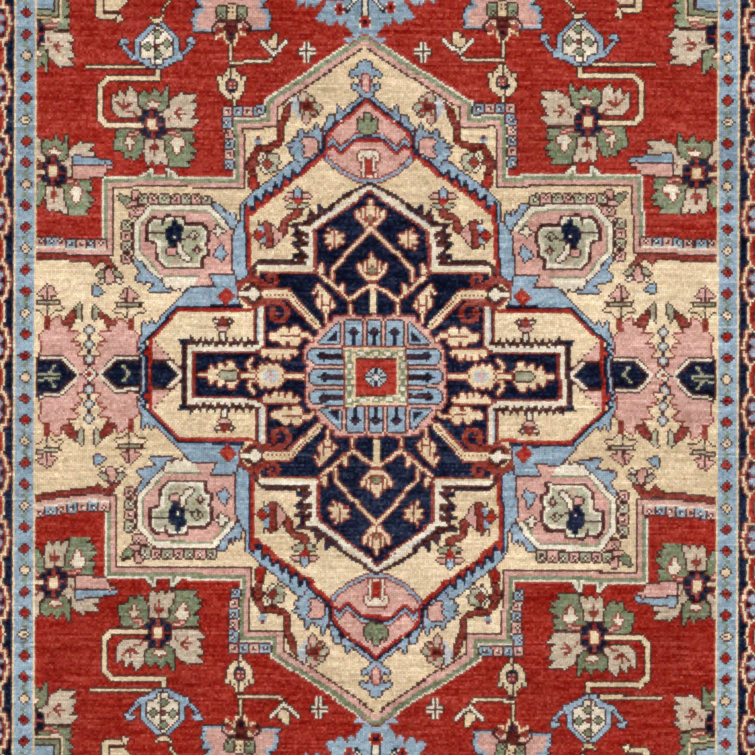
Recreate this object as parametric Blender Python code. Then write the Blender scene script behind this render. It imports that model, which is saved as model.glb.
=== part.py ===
"""Hand-knotted wool area rug: foundation cloth, pile zones, selvedges, flat-woven ends and fringes.

Metres, +Z up, +Y along the warps. The origin is on the floor under the rug's centre.
"""

import math

import bpy

KNOT = 0.00345  # pitch of the knots, the same along and across the rug
FIELD_HALF_W, FIELD_HALF_L = 166, 251  # knots, from the centre to the inner guard
BORDER_WIDTHS = {"inner_guard": 10, "main_border": 30, "outer_guard": 8, "edge_band": 4}  # knots

BASE_T = 0.0032  # warps and wefts, without the pile
PILE_T = 0.0075
GAP = 0.0003  # between touching pieces
SELVEDGE_R = 0.0047
SELVEDGE_SIDES = 12
KILIM_L, KILIM_T = 0.020, 0.0025
FRINGE_L, FRINGE_T = 0.072, 0.0025
FRINGE_HEADER = 0.006
TASSEL_PITCH, TASSEL_W = 0.0234, 0.009

RUG_HALF_W = (FIELD_HALF_W + sum(BORDER_WIDTHS.values())) * KNOT
RUG_HALF_L = (FIELD_HALF_L + sum(BORDER_WIDTHS.values())) * KNOT
PILE_Z = BASE_T + GAP

# Corners of the drawing in its north-east quarter, anticlockwise, in knots from the rug's centre.
OCTAGON = [(34, 0), (34, 14), (24, 30), (0, 30)]
MEDALLION = [(59, 0), (59, 56), (35, 56), (35, 75), (0, 95)]
ARM_HALF_L, ARM_END = 18, 96
HEAD_HALF_W, HEAD_SHOULDER, HEAD_TOP = 18, 150, 160
HEAD_FOOT = 85  # where the head panel's side meets the medallion's slope
SIDE_HALF_L = 29
BRACKET = [(FIELD_HALF_W, 60), (134, 60), (134, 99), (70, 99), (70, 127), (54, 127), (54, 135), (0, 167)]
SPANDREL = [(FIELD_HALF_W, 175), (152, 175), (152, 190), (138, 190), (138, 205), (120, 205),
            (120, 220), (102, 220), (102, 235), (84, 235), (84, FIELD_HALF_L)]

MADDER = (0.33, 0.03, 0.02)
NAVY = (0.018, 0.02, 0.045)
IVORY = (0.72, 0.58, 0.42)
PINK = (0.60, 0.30, 0.25)
SKY = (0.30, 0.38, 0.44)
SAGE = (0.33, 0.34, 0.23)
BROWN = (0.10, 0.035, 0.03)
COTTON = (0.66, 0.60, 0.48)

QUARTERS = {"ne": (1, 1), "nw": (-1, 1), "se": (1, -1), "sw": (-1, -1)}


def clear_scene():
    for thing in list(bpy.data.objects):
        bpy.data.objects.remove(thing)


def new_collection(name):
    group = bpy.data.collections.new(name)
    bpy.context.scene.collection.children.link(group)
    return group


def dyed(name, colour):
    """Matt wool or cotton of one colour."""
    material = bpy.data.materials.new(name)
    material.use_nodes = True
    shader = material.node_tree.nodes["Principled BSDF"]
    shader.inputs["Base Color"].default_value = (*colour, 1.0)
    shader.inputs["Roughness"].default_value = 0.9
    shader.inputs["Metallic"].default_value = 0.0
    return material


def keep(thing, name, colour, group):
    """Names a finished piece, dyes it and moves it to the rug's collection."""
    thing.name = name
    thing.data.name = name
    thing.data.materials.clear()
    thing.data.materials.append(dyed(name, colour))
    for other in list(thing.users_collection):
        other.objects.unlink(thing)
    group.objects.link(thing)
    return thing


def drawn_in(outline, distance):
    """An anticlockwise outline with every side moved inwards by the same distance."""
    moved = []
    for i, (x, y) in enumerate(outline):
        before, after = outline[i - 1], outline[(i + 1) % len(outline)]
        a = math.atan2(y - before[1], x - before[0])
        b = math.atan2(after[1] - y, after[0] - x)
        half_turn = (b - a) / 2
        reach = distance / math.cos(half_turn)
        middle = a + half_turn + math.pi / 2
        moved.append((x + reach * math.cos(middle), y + reach * math.sin(middle)))
    return moved


def anticlockwise(outline):
    twice_area = sum(a[0] * b[1] - b[0] * a[1] for a, b in zip(outline, outline[1:] + outline[:1]))
    return outline if twice_area > 0 else outline[::-1]


def slab(name, outline, bottom, thickness, colour, group):
    """A flat solid from an outline in metres: a filled 2D curve, extruded by half its thickness."""
    curve = bpy.data.curves.new(name, "CURVE")
    curve.dimensions = "2D"
    curve.fill_mode = "BOTH"
    curve.extrude = thickness / 2
    spline = curve.splines.new("POLY")
    spline.points.add(len(outline) - 1)
    for point, (x, y) in zip(spline.points, outline):
        point.co = (x, y, 0, 1)
    spline.use_cyclic_u = True
    thing = bpy.data.objects.new(name, curve)
    group.objects.link(thing)
    thing.location.z = bottom + thickness / 2
    return keep(thing, name, colour, group)


def pile(name, knots, colour, group):
    """One zone of the pile, from an outline in knots. Each side gives up half the gap to its neighbour."""
    outline = [(u * KNOT, v * KNOT) for u, v in anticlockwise(knots)]
    return slab(name, drawn_in(outline, GAP / 2), PILE_Z, PILE_T, colour, group)


def turned(knots, quarter):
    return [(u * quarter[0], v * quarter[1]) for u, v in knots]


def north_half(quarter):
    """An outline's north half, anticlockwise, from its north-east quarter."""
    return quarter + [(-u, v) for u, v in reversed(quarter) if u != 0]


def all_round(quarter):
    north = north_half(quarter)
    return north + [(-u, -v) for u, v in north if v != 0]


def block(name, size, centre, colour, group):
    bpy.ops.mesh.primitive_cube_add(size=1, location=centre)
    thing = bpy.context.object
    thing.scale = size
    bpy.ops.object.transform_apply(location=False, rotation=False, scale=True)
    return keep(thing, name, colour, group)


def make_foundation(group):
    """Cotton warps and wefts, which the knots are tied on."""
    size = (2 * RUG_HALF_W, 2 * RUG_HALF_L, BASE_T)
    block("foundation", size, (0, 0, BASE_T / 2), COTTON, group)


def make_medallion(group):
    """The navy medallion with its pink centre, its two arms and what stands on its four points."""
    pile("pile_centre_octagon", all_round(OCTAGON), PINK, group)
    half = north_half(MEDALLION) + north_half(OCTAGON)[::-1]
    head = north_half([(HEAD_HALF_W, HEAD_FOOT), (HEAD_HALF_W, HEAD_SHOULDER), (0, HEAD_TOP)])
    head.append(MEDALLION[-1])
    for name, sign in (("north", 1), ("south", -1)):
        pile(f"pile_medallion_{name}", [(u, v * sign) for u, v in half], NAVY, group)
        pile(f"pile_head_panel_{name}", [(u, v * sign) for u, v in head], PINK, group)

    start = MEDALLION[0][0]
    arm = [(start, -ARM_HALF_L), (ARM_END, -ARM_HALF_L), (ARM_END, ARM_HALF_L), (start, ARM_HALF_L)]
    side = [(ARM_END, -SIDE_HALF_L), (FIELD_HALF_W, -SIDE_HALF_L),
            (FIELD_HALF_W, SIDE_HALF_L), (ARM_END, SIDE_HALF_L)]
    for name, sign in (("east", 1), ("west", -1)):
        pile(f"pile_arm_{name}", [(u * sign, v) for u, v in arm], NAVY, group)
        pile(f"pile_side_flower_{name}", [(u * sign, v) for u, v in side], PINK, group)


def make_quarters(group):
    """The ivory bracket round the medallion, the madder ground outside it and the corner spandrels."""
    inner_side = [(HEAD_HALF_W, HEAD_SHOULDER), (HEAD_HALF_W, HEAD_FOOT), *MEDALLION[1:4][::-1],
                  (MEDALLION[0][0], ARM_HALF_L), (ARM_END, ARM_HALF_L), (ARM_END, SIDE_HALF_L),
                  (FIELD_HALF_W, SIDE_HALF_L)]
    bracket = [*BRACKET, (0, HEAD_TOP), *inner_side]
    ground = [*SPANDREL, (0, FIELD_HALF_L), *BRACKET[::-1]]
    spandrel = [*SPANDREL, (FIELD_HALF_W, FIELD_HALF_L)]
    for name, quarter in QUARTERS.items():
        pile(f"pile_bracket_{name}", turned(bracket, quarter), IVORY, group)
        pile(f"pile_field_{name}", turned(ground, quarter), MADDER, group)
        pile(f"pile_spandrel_{name}", turned(spandrel, quarter), SKY, group)


def make_borders(group):
    """Four borders, each of four strips that meet at the corners' diagonals."""
    colours = {"inner_guard": SKY, "main_border": NAVY, "outer_guard": PINK, "edge_band": BROWN}
    half_w, half_l = FIELD_HALF_W, FIELD_HALF_L
    for border, width in BORDER_WIDTHS.items():
        out_w, out_l = half_w + width, half_l + width
        for name, sign in (("north", 1), ("south", -1)):
            strip = [(-half_w, half_l), (half_w, half_l), (out_w, out_l), (-out_w, out_l)]
            pile(f"{border}_{name}", [(u, v * sign) for u, v in strip], colours[border], group)
        for name, sign in (("east", 1), ("west", -1)):
            strip = [(half_w, -half_l), (half_w, half_l), (out_w, out_l), (out_w, -out_l)]
            pile(f"{border}_{name}", [(u * sign, v) for u, v in strip], colours[border], group)
        half_w, half_l = out_w, out_l


def make_selvedges(group):
    """A cable of warps along each side, overcast with wool. It runs past the flat-woven ends too."""
    length = 2 * (RUG_HALF_L + GAP + KILIM_L)
    for name, sign in (("east", 1), ("west", -1)):
        x = sign * (RUG_HALF_W + GAP + SELVEDGE_R)
        bpy.ops.mesh.primitive_cylinder_add(vertices=SELVEDGE_SIDES, radius=SELVEDGE_R, depth=length,
                                            location=(x, 0, SELVEDGE_R), rotation=(math.pi / 2, 0, 0))
        thing = keep(bpy.context.object, f"selvedge_{name}", BROWN, group)
        thing.data.shade_smooth()
        thing.data.set_sharp_from_angle(angle=math.radians(40))


def comb(length):
    """The fringe's outline, with its header towards -Y, as half-open teeth along +Y."""
    count = int(2 * RUG_HALF_W / TASSEL_PITCH)
    first = -(count - 1) / 2 * TASSEL_PITCH
    outline = [(-RUG_HALF_W, FRINGE_HEADER), (-RUG_HALF_W, 0), (RUG_HALF_W, 0), (RUG_HALF_W, FRINGE_HEADER)]
    for i in reversed(range(count)):
        x = first + i * TASSEL_PITCH
        half = TASSEL_W / 2
        outline += [(x + half, FRINGE_HEADER), (x + half * 0.7, length),
                    (x - half * 0.7, length), (x - half, FRINGE_HEADER)]
    return outline


def make_ends(group):
    """A flat-woven band at each end, and beyond it the warps, knotted in tassels."""
    for name, sign in (("north", 1), ("south", -1)):
        start = RUG_HALF_L + GAP
        centre = (0, sign * (start + KILIM_L / 2), KILIM_T / 2)
        block(f"kilim_end_{name}", (2 * RUG_HALF_W, KILIM_L, KILIM_T), centre, MADDER, group)
        start += KILIM_L + GAP
        outline = anticlockwise([(x, sign * (start + y)) for x, y in comb(FRINGE_L)])
        slab(f"fringe_{name}", outline, 0, FRINGE_T, COTTON, group)


clear_scene()
rug = new_collection("area_rug")
make_foundation(rug)
make_medallion(rug)
make_quarters(rug)
make_borders(rug)
make_selvedges(rug)
make_ends(rug)
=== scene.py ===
"""A hand-knotted wool rug with a hexagonal medallion, flat on a pale floor, seen from straight above."""

import math

import bmesh
import bpy
import numpy as np
from mathutils import Matrix, Vector
from mathutils.bvhtree import BVHTree


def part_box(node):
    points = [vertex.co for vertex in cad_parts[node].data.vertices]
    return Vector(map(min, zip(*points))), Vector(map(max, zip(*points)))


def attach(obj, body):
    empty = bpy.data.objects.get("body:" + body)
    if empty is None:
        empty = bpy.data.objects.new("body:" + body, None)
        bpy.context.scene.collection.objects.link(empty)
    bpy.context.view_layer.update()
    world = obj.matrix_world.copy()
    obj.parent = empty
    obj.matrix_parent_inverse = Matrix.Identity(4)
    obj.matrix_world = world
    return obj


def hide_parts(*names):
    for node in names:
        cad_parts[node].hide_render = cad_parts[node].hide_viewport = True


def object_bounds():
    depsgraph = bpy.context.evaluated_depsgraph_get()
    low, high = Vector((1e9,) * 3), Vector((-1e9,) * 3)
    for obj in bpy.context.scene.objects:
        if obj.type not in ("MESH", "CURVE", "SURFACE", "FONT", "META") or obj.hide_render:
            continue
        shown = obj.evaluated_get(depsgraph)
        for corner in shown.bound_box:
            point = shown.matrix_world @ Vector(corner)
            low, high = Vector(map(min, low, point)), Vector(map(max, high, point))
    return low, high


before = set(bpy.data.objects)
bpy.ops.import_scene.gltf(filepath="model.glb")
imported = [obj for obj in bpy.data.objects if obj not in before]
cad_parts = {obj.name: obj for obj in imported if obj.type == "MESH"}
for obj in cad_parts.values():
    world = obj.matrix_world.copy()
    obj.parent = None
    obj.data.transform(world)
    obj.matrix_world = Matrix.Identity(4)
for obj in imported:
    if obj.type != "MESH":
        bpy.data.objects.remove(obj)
cad_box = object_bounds()


# --- camera ---------------------------------------------------------------------------------------
# A long lens on a stand straight over the rug's middle. It takes in the medallion and the field round
# it, 1.27 m across, and is turned a fraction of a degree, as a hand-levelled stand is.
VIEW_ACROSS = 1.2706
VIEW_CENTRE = (0.0025, 0.0014)
VIEW_TURN = 0.2

pile_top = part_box("pile_centre_octagon")[1].z
lens = bpy.data.cameras.new("copy_stand_lens")
lens.lens = 85
lens.clip_end = 50
camera = bpy.data.objects.new("copy_stand", lens)
bpy.context.scene.collection.objects.link(camera)
camera.location = (*VIEW_CENTRE, pile_top + VIEW_ACROSS * lens.lens / lens.sensor_width)
camera.rotation_euler = (0, 0, math.radians(VIEW_TURN))
bpy.context.scene.camera = camera


# --- floor and light ------------------------------------------------------------------------------
# A plain off-white floor, one broad soft light high over each long side of the rug, and an even pale
# room all round, so that the pile shows its colours with next to no shadow.
def linear(code):
    """An sRGB hex colour as linear red, green and blue."""
    parts = [int(code[i:i + 2], 16) / 255 for i in (1, 3, 5)]
    return tuple(p / 12.92 if p <= 0.04045 else ((p + 0.055) / 1.055) ** 2.4 for p in parts)


def add_node(tree, kind, settings=(), links=()):
    """Adds a shader node; settings name its properties and sockets, links feed its sockets."""
    node = tree.nodes.new(kind)
    for name, value in dict(settings).items():
        if isinstance(name, str) and hasattr(node, name):
            setattr(node, name, value)
        else:
            node.inputs[name].default_value = value
    for name, source in dict(links).items():
        tree.links.new(source, node.inputs[name])
    return node


def new_material(name):
    """A material with an empty node tree, and its output node."""
    made = bpy.data.materials.new(name)
    made.use_nodes = True
    made.node_tree.nodes.clear()
    return made, made.node_tree, made.node_tree.nodes.new("ShaderNodeOutputMaterial")


# Painted screed: matt, with a faint trowelled mottle.
floor_paint, tree, out = new_material("matt_floor_paint")
place = add_node(tree, "ShaderNodeTexCoord").outputs["Object"]
mottle = add_node(tree, "ShaderNodeTexNoise", {"Scale": 3, "Detail": 4}, {"Vector": place})
tint = add_node(tree, "ShaderNodeMixRGB", {"Color1": (*linear("#f3f2ee"), 1), "Color2": (*linear("#ebe9e4"),
                                                                                         1)},
                {"Fac": mottle.outputs["Fac"]})
paint = add_node(tree, "ShaderNodeBsdfPrincipled", {"Roughness": 0.8}, {"Base Color": tint.outputs[0]})
tree.links.new(paint.outputs[0], out.inputs["Surface"])

form = bmesh.new()
bmesh.ops.create_grid(form, x_segments=4, y_segments=4, size=6)
floor_mesh = bpy.data.meshes.new("floor")
form.to_mesh(floor_mesh)
form.free()
floor_mesh.materials.append(floor_paint)
floor = bpy.data.objects.new("floor", floor_mesh)
bpy.context.scene.collection.objects.link(floor)
floor.location.z = cad_box[0].z

for side in (-1, 1):
    softbox = bpy.data.lights.new("softbox", "AREA")
    softbox.shape, softbox.size, softbox.size_y, softbox.energy = "RECTANGLE", 1.6, 3.2, 34
    lamp = bpy.data.objects.new("softbox", softbox)
    bpy.context.scene.collection.objects.link(lamp)
    lamp.location = (side * 1.9, 0.3, 2.4)
    lamp.rotation_euler = (0, side * math.radians(40), 0)

room = bpy.data.worlds.new("pale_room")
room.use_nodes = True
room.node_tree.nodes["Background"].inputs["Color"].default_value = (*linear("#fbfaf8"), 1)
room.node_tree.nodes["Background"].inputs["Strength"].default_value = 0.55
bpy.context.scene.world = room
bpy.context.scene.view_settings.view_transform = "Standard"


# --- cartoon: knots and yarns ---------------------------------------------------------------------
# The weaver's squared drawing. It shows one quarter of the rug, one square for each knot, and numbers
# knots from the rug's middle; the other quarters are the same drawing turned over. Hand-spun wool
# from vegetable dye pots: madder reds, indigo blues, sheep's own ivory.
FIELD_WIDE, FIELD_LONG = 166, 251
GUARD, MAIN, OUTER, EDGE = 10, 30, 8, 4
HALF_WIDE = FIELD_WIDE + GUARD + MAIN + OUTER + EDGE
HALF_LONG = FIELD_LONG + GUARD + MAIN + OUTER + EDGE
YARNS = {
    "red": "#a12c20", "deep": "#5f221d", "brick": "#8c392e", "brown": "#4a1f1c", "navy": "#0f1730",
    "sky": "#94a9b9", "pink": "#d5a497", "sage": "#868d70", "taupe": "#c9b59e", "ivory": "#e7cda9",
    "white": "#eadcc6", "mist": "#b9bdc0", "pale": "#b2ae94", "rose": "#b43f32",
}
yarn_names = list(YARNS)
quarter = np.full((HALF_LONG, HALF_WIDE), yarn_names.index("red"), np.uint8)
across, along = np.meshgrid(np.arange(HALF_WIDE) + 0.5, np.arange(HALF_LONG) + 0.5)


def window(points, reach=0):
    """The rows and columns of the cartoon that an outline can touch."""
    us, vs = zip(*points)
    left, right = int(max(0, min(us) - reach - 1)), int(min(HALF_WIDE, max(us) + reach + 2))
    low, high = int(max(0, min(vs) - reach - 1)), int(min(HALF_LONG, max(vs) + reach + 2))
    return slice(low, max(high, low)), slice(left, max(right, left))


def inside(points, where):
    """Which knots of the window have their middle inside the outline."""
    u, v = across[where], along[where]
    odd = np.zeros(u.shape, bool)
    for (u0, v0), (u1, v1) in zip(points, points[1:] + points[:1]):
        if v0 != v1:
            odd ^= ((v0 > v) != (v1 > v)) & (u < u0 + (v - v0) * (u1 - u0) / (v1 - v0))
    return odd


def distance(points, where):
    """Each knot's distance from a drawn line, in knots."""
    u, v = across[where], along[where]
    best = np.full(u.shape, 1e9)
    for (u0, v0), (u1, v1) in zip(points, points[1:]):
        du, dv = u1 - u0, v1 - v0
        share = np.clip(((u - u0) * du + (v - v0) * dv) / max(du * du + dv * dv, 1e-9), 0, 1)
        best = np.minimum(best, np.hypot(u - u0 - share * du, v - v0 - share * dv))
    return best


def tie(mask, where, yarn, edge=None):
    """Marks knots for one yarn, with a row of the edge's yarn round them."""
    part = quarter[where]
    if edge:
        grown = mask.copy()
        grown[1:] |= mask[:-1]
        grown[:-1] |= mask[1:]
        grown[:, 1:] |= mask[:, :-1]
        grown[:, :-1] |= mask[:, 1:]
        part[grown] = yarn_names.index(edge)
    part[mask] = yarn_names.index(yarn)


def shape(yarn, points, edge=None):
    where = window(points, 1)
    tie(inside(points, where), where, yarn, edge)


def line(yarn, points, width=1.1, edge=None):
    where = window(points, width + 1)
    tie(distance(points, where) <= width / 2, where, yarn, edge)


def spot(yarn, u, v, size, edge=None):
    """A small lozenge."""
    shape(yarn, [(u + size, v), (u, v + size), (u - size, v), (u, v - size)], edge)


def box(yarn, u, v, wide, tall, edge=None):
    a, b = wide / 2, tall / 2
    shape(yarn, [(u - a, v - b), (u + a, v - b), (u + a, v + b), (u - a, v + b)], edge)


def inset(points, by):
    """An outline moved inwards by so many knots, with its corners kept sharp."""
    turn = sum(u0 * v1 - u1 * v0 for (u0, v0), (u1, v1) in zip(points, points[1:] + points[:1]))
    moved = []
    for (u0, v0), (u1, v1), (u2, v2) in zip(points[-1:] + points[:-1], points, points[1:] + points[:1]):
        a, b = math.hypot(u1 - u0, v1 - v0), math.hypot(u2 - u1, v2 - v1)
        before, after = ((v0 - v1) / a, (u1 - u0) / a), ((v1 - v2) / b, (u2 - u1) / b)
        reach = math.copysign(by, turn) / (1 + before[0] * after[0] + before[1] * after[1])
        moved.append((u1 + reach * (before[0] + after[0]), v1 + reach * (before[1] + after[1])))
    return moved


def bands(points, layers):
    """Fills an outline with bands that follow it, from the outside in, each a yarn and a width."""
    start = 0
    for yarn, width in layers:
        shape(yarn, inset(points, start))
        start += width


def both(draw, yarn, axis, points, *rest):
    """Draws a shape or a line on both sides of a motif's own centre line."""
    draw(yarn, points, *rest)
    draw(yarn, [(2 * axis - u, v) for u, v in points], *rest)


# --- cartoon: the bracket's outline ---------------------------------------------------------------
# A stepped frame round the medallion, tied as bands that follow one another: a white line, green, pink
# and a brown line, with the ivory ground inside. Two small hooks stand on its shoulder.
BRACKET = [(-60, 130), (-1, 168.4), (1, 168.4), (51, 135.2), (51, 128.4), (67.5, 128.4), (67.5, 99.3),
           (132.5, 99.3), (132.5, 66.8), (180, 66.8), (180, -20), (-60, -20)]
shape("white", [(112.5, 99), (108, 103.8), (106.8, 102), (106.8, 99)], "brown")
shape("white", [(94.5, 99), (99, 103.8), (100.4, 102), (100.4, 99)], "brown")
bands(BRACKET, [("white", 1), ("sage", 2.3), ("pink", 2.4), ("brown", 1), ("ivory", 300)])
shape("sage", [(110.8, 97.5), (108.2, 101.6), (107.8, 97.5)])
shape("sage", [(96.4, 97.5), (99, 101.6), (99.4, 97.5)])


# --- cartoon: the red field -----------------------------------------------------------------------
# Flowers on the madder ground outside the bracket: a large four-leaved palmette, a vase, a pink
# palmette and small blossoms, all joined by ivory stems one or two knots wide.
def palmette_leaves():
    shape("taupe", [(126.2, 140), (122.8, 136.8), (121.3, 141.2), (118.3, 137.7), (117, 143.5),
                    (112.6, 138.6), (112.5, 133.3), (109.6, 129.3), (110.2, 128.2), (123.1, 128),
                    (126.3, 132.4)], "brown")
    line("brick", [(119.5, 136.8), (119.5, 132)], 1.3)
    line("brick", [(123, 135.2), (119.5, 131.8), (116, 134.8)], 1.6)
    line("brick", [(118, 130.9), (114.8, 130.2), (113, 128.6)], 1.2)
    shape("taupe", [(92, 139.6), (84, 138.9), (87.5, 135.5), (83.2, 134.3), (86.5, 131), (84.2, 130),
                    (86.8, 127.2), (83.4, 126.5), (86.8, 123), (98.9, 123), (99.7, 125), (101.8, 129.3),
                    (97.3, 132.5), (96.8, 136)], "brown")
    line("brick", [(91.5, 132.6), (94.2, 130), (91.4, 126.8)], 1.6)
    line("brick", [(94.5, 129.8), (89.6, 129.8)], 1.2)
    line("brick", [(97.8, 127), (96, 129)], 1.2)
    shape("sage", [(111.7, 138.6), (109.4, 141.6), (106.9, 138.1), (104.1, 142.4), (101.5, 137.7),
                   (98.3, 143.2), (98.1, 134.6), (100, 131.5), (102.6, 130.9), (109.3, 130.9),
                   (111.8, 134.6)], "brown")
    shape("brick", [(109.2, 135.2), (107, 136), (105.2, 137.2), (103.5, 136), (101, 135.8), (102.5, 133),
                    (104, 130.8), (106.6, 130.8), (107.7, 133)])
    shape("white", [(108.3, 134.9), (106.2, 134.5), (105.2, 136.4), (104.4, 134.5), (101.8, 135),
                    (103, 132.9), (106.8, 132.9)])
    box("white", 105.2, 131.5, 1, 1)
    shape("sage", [(123.3, 121.6), (113, 121.6), (110, 120), (109.7, 118.5), (111.4, 116.7), (111, 113),
                   (113.5, 108.2), (115.6, 107), (116.3, 109.3), (119.4, 107.6), (119.9, 110.8), (125, 112.6),
                   (125.3, 114.5)], "brown")
    shape("white", [(117.6, 118.6), (120.8, 115), (118.4, 115), (117.8, 111.8), (117, 111.8), (116.8, 115),
                    (114.2, 115)], "brick")
    line("pink", [(113, 121.2), (114.5, 119.8), (117, 119.3)], 1.1, "brick")
    shape("sage", [(94.5, 121.6), (85.2, 120.8), (87.2, 119.2), (85, 116.9), (89.3, 115.6), (85, 111.6),
                   (88, 110.7), (86, 107.9), (90, 107), (87.6, 104.2), (98, 104), (98.5, 107.2), (99.6, 110),
                   (99.8, 116.3), (102, 118.5), (96, 119.8)], "brown")
    shape("white", [(95.8, 118.4), (93, 118.4), (91, 116), (91.4, 113.9), (92.7, 114.6), (92.9, 111.7),
                    (94.3, 110.2), (95.8, 111.7), (96, 114.6), (97.3, 113.9), (97.6, 115.8)], "brick")
    line("pink", [(99.5, 120.4), (95.3, 120.4), (94, 119.3)], 1.1, "brick")
    shape("taupe", [(109.5, 116.8), (106.5, 117.2), (105.6, 115.6), (104.7, 117.2), (101, 116.8),
                    (100.6, 113.5), (100.4, 109), (98.8, 107.3), (98.8, 104.2), (102.8, 107.2),
                    (103.8, 103.8), (106.9, 107.6), (108.1, 104), (110.1, 107.2), (110.6, 111.7)], "brown")
    shape("brick", [(108.6, 112), (106.8, 114.5), (105.6, 117.2), (104.5, 114.5), (102.6, 113.2),
                    (102.8, 111.2), (105, 112.4), (105.5, 108.8), (106.3, 112.4), (108.2, 110.8)])


def palmette_heart():
    shape("navy", [(109.5, 130.6), (102.8, 130.6), (102.5, 128.3), (100, 127.5), (100, 120.3), (102.5, 119.8),
                   (103, 118), (109, 118), (109.5, 119.8), (112.2, 120.5), (112.2, 127.5), (109.8, 128.3)],
          "brown")
    line("brick", [(106, 131), (106, 118)], 1)
    line("brick", [(112, 124.2), (100, 124.2)], 1)
    box("brick", 106, 124.2, 6.6, 6.8)
    box("ivory", 106, 124.2, 4.4, 4.8)


def stem_and_vase():
    line("ivory", [(138, 152.7), (107, 152.7)], 1.2, "brown")
    line("ivory", [(103.2, 151), (103, 147.2), (128, 147.2), (131.8, 143.4), (131.8, 127.4), (128.8, 124),
                   (112.5, 124)], 2.4, "brown")
    axis = 103.3
    both(line, "sky", axis, [(114.5, 157.5), (120, 163.3), (121.2, 165.5)], 1.6, "brown")
    both(shape, "sky", axis, [(121.6, 164.5), (121, 166.9), (119.3, 167.4), (117.2, 165.2), (119.4, 165),
                              (119.8, 163.4)], "brown")
    both(shape, "sky", axis, [(103.3, 174.2), (106.2, 174.2), (113.6, 166.6), (113.7, 160), (115.8, 158),
                              (115.4, 156), (111, 155.3), (109.6, 154), (106, 152), (103.3, 152)], "brown")
    both(shape, "white", axis, [(103, 173), (103.6, 173), (110.8, 166), (110.8, 158.5), (108.9, 158.5),
                                (108.3, 157), (105.6, 156.6), (105.6, 154.4), (103, 154.4)], "brown")
    for u, v, yarn in ((103.3, 169.6, "sage"), (108, 163.9, "sage"), (98.6, 163.9, "sage"),
                       (103.3, 158.6, "sage")):
        spot(yarn, u, v, 2.0, "brown")
    spot("brick", 103.3, 163.6, 1.1, "brown")
    shape("ivory", [(106.7, 177.7), (103.3, 176.7), (99.9, 177.7), (101.3, 175.3), (105.3, 175.3)], "brown")
    for i in range(7):
        box("ivory", 101 - i * 0.85, 179.2 + i * 1.15, 1, 1, "brown")
    shape("ivory", [(128.6, 190), (128.6, 180.6), (122.3, 180.6), (120.6, 183), (118, 186), (118, 190)],
          "brown")
    line("ivory", [(131.5, 190), (131.5, 178.3), (122, 178.3)], 2, "brown")
    shape("ivory", [(122.4, 179.6), (119.8, 176.7), (122.6, 174.8), (122.6, 177.2)], "brown")


def pink_palmette():
    axis = 66.3
    outer = [(66.3, 169.6), (85.8, 169.6), (84.2, 172.8), (86.3, 175.8), (83.8, 177.8), (85, 180.3),
             (80, 181), (83.5, 185.5), (79, 187), (82, 191), (76, 191), (77.5, 197), (72, 195), (66.3, 201)]
    inner = [(66.3, 171), (83.6, 171), (82.4, 173), (84, 175.8), (82, 177.6), (82.4, 179), (78.6, 180),
             (80.8, 184.6), (77, 186), (79, 189.6), (74.6, 189.4), (75.4, 194), (71.4, 192.6), (66.3, 198)]
    both(shape, "sky", axis, outer, "brown")
    both(shape, "pink", axis, inner)
    both(line, "brown", axis, [(69.4, 174.6), (73, 174.6), (75.8, 171), (74.8, 168.5), (73, 167.2)], 1.4)
    both(shape, "brick", axis, [(69.5, 173.5), (72.5, 173), (74.6, 171), (73.6, 168.8), (70.5, 168.4),
                                (69.5, 170)])
    both(line, "ivory", axis, [(69.8, 172), (71.5, 172.2)], 1.1)
    both(line, "ivory", axis, [(71, 168.2), (73.5, 167)], 1.2)
    shape("deep", [(69, 178), (63.6, 178), (64.4, 174), (63.8, 169), (65.2, 163.8), (67.6, 163.8), (69, 169),
                   (68.3, 174)], "brown")
    both(line, "ivory", axis, [(69.6, 169), (69, 166), (67.4, 163.4), (66.3, 163.3)], 1.1)
    spot("navy", 66.3, 168, 1.6)
    both(box_at, "sage", axis, [(71.3, 178.6)], 4.4, 6, "brown")
    both(box_at, "pale", axis, [(71.3, 177.8)], 1.2, 1.2, "brown")
    box("ivory", 66.3, 180, 4.2, 7, "brown")
    for u, v in ((65.3, 182), (67.3, 182), (65.3, 179.5), (67.3, 179.5)):
        box("brown", u, v, 1, 1)


def box_at(yarn, points, wide, tall, edge=None):
    (u, v), = points
    box(yarn, u, v, wide, tall, edge)


def cream_flower():
    axis = 66
    line("ivory", [(66.5, 163), (66.2, 154.2)], 1.1, "brown")
    line("ivory", [(66.2, 154.2), (48.5, 154.3), (45.3, 156.6)], 1.2, "brown")
    line("white", [(51.5, 164.2), (49.6, 162.2), (45.2, 158), (40.6, 162), (38.8, 164.2)], 1.4, "brown")
    shape("ivory", [(47.8, 164.5), (46, 164.8), (45.2, 168.2), (43.1, 168.2), (42.9, 163), (45, 160.3),
                    (47.9, 162.5)], "brown")
    both(shape, "ivory", axis, [(65.5, 152.6), (67.8, 152.2), (68.6, 150), (68.4, 148), (69.4, 149.2),
                                (70.2, 146), (71.8, 148.6), (73, 148.4), (71.8, 143.5), (71.4, 140),
                                (69.6, 138), (67, 136.8), (65.5, 136.8)], "brown")
    shape("navy", [(63.4, 140.8), (62.6, 142), (62.6, 145), (64.4, 147), (67.4, 147), (69.3, 145),
                   (69.3, 142), (67.6, 140.4), (64.4, 140.4)])
    box("brick", 66, 143.7, 4.4, 4.2)
    for u, v in ((65, 144.6), (67, 144.6), (65, 142.8), (67, 142.8)):
        box("pink", u, v, 1, 1)
    line("ivory", [(65.8, 136.6), (65.8, 132.6)], 1.1, "brown")


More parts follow.
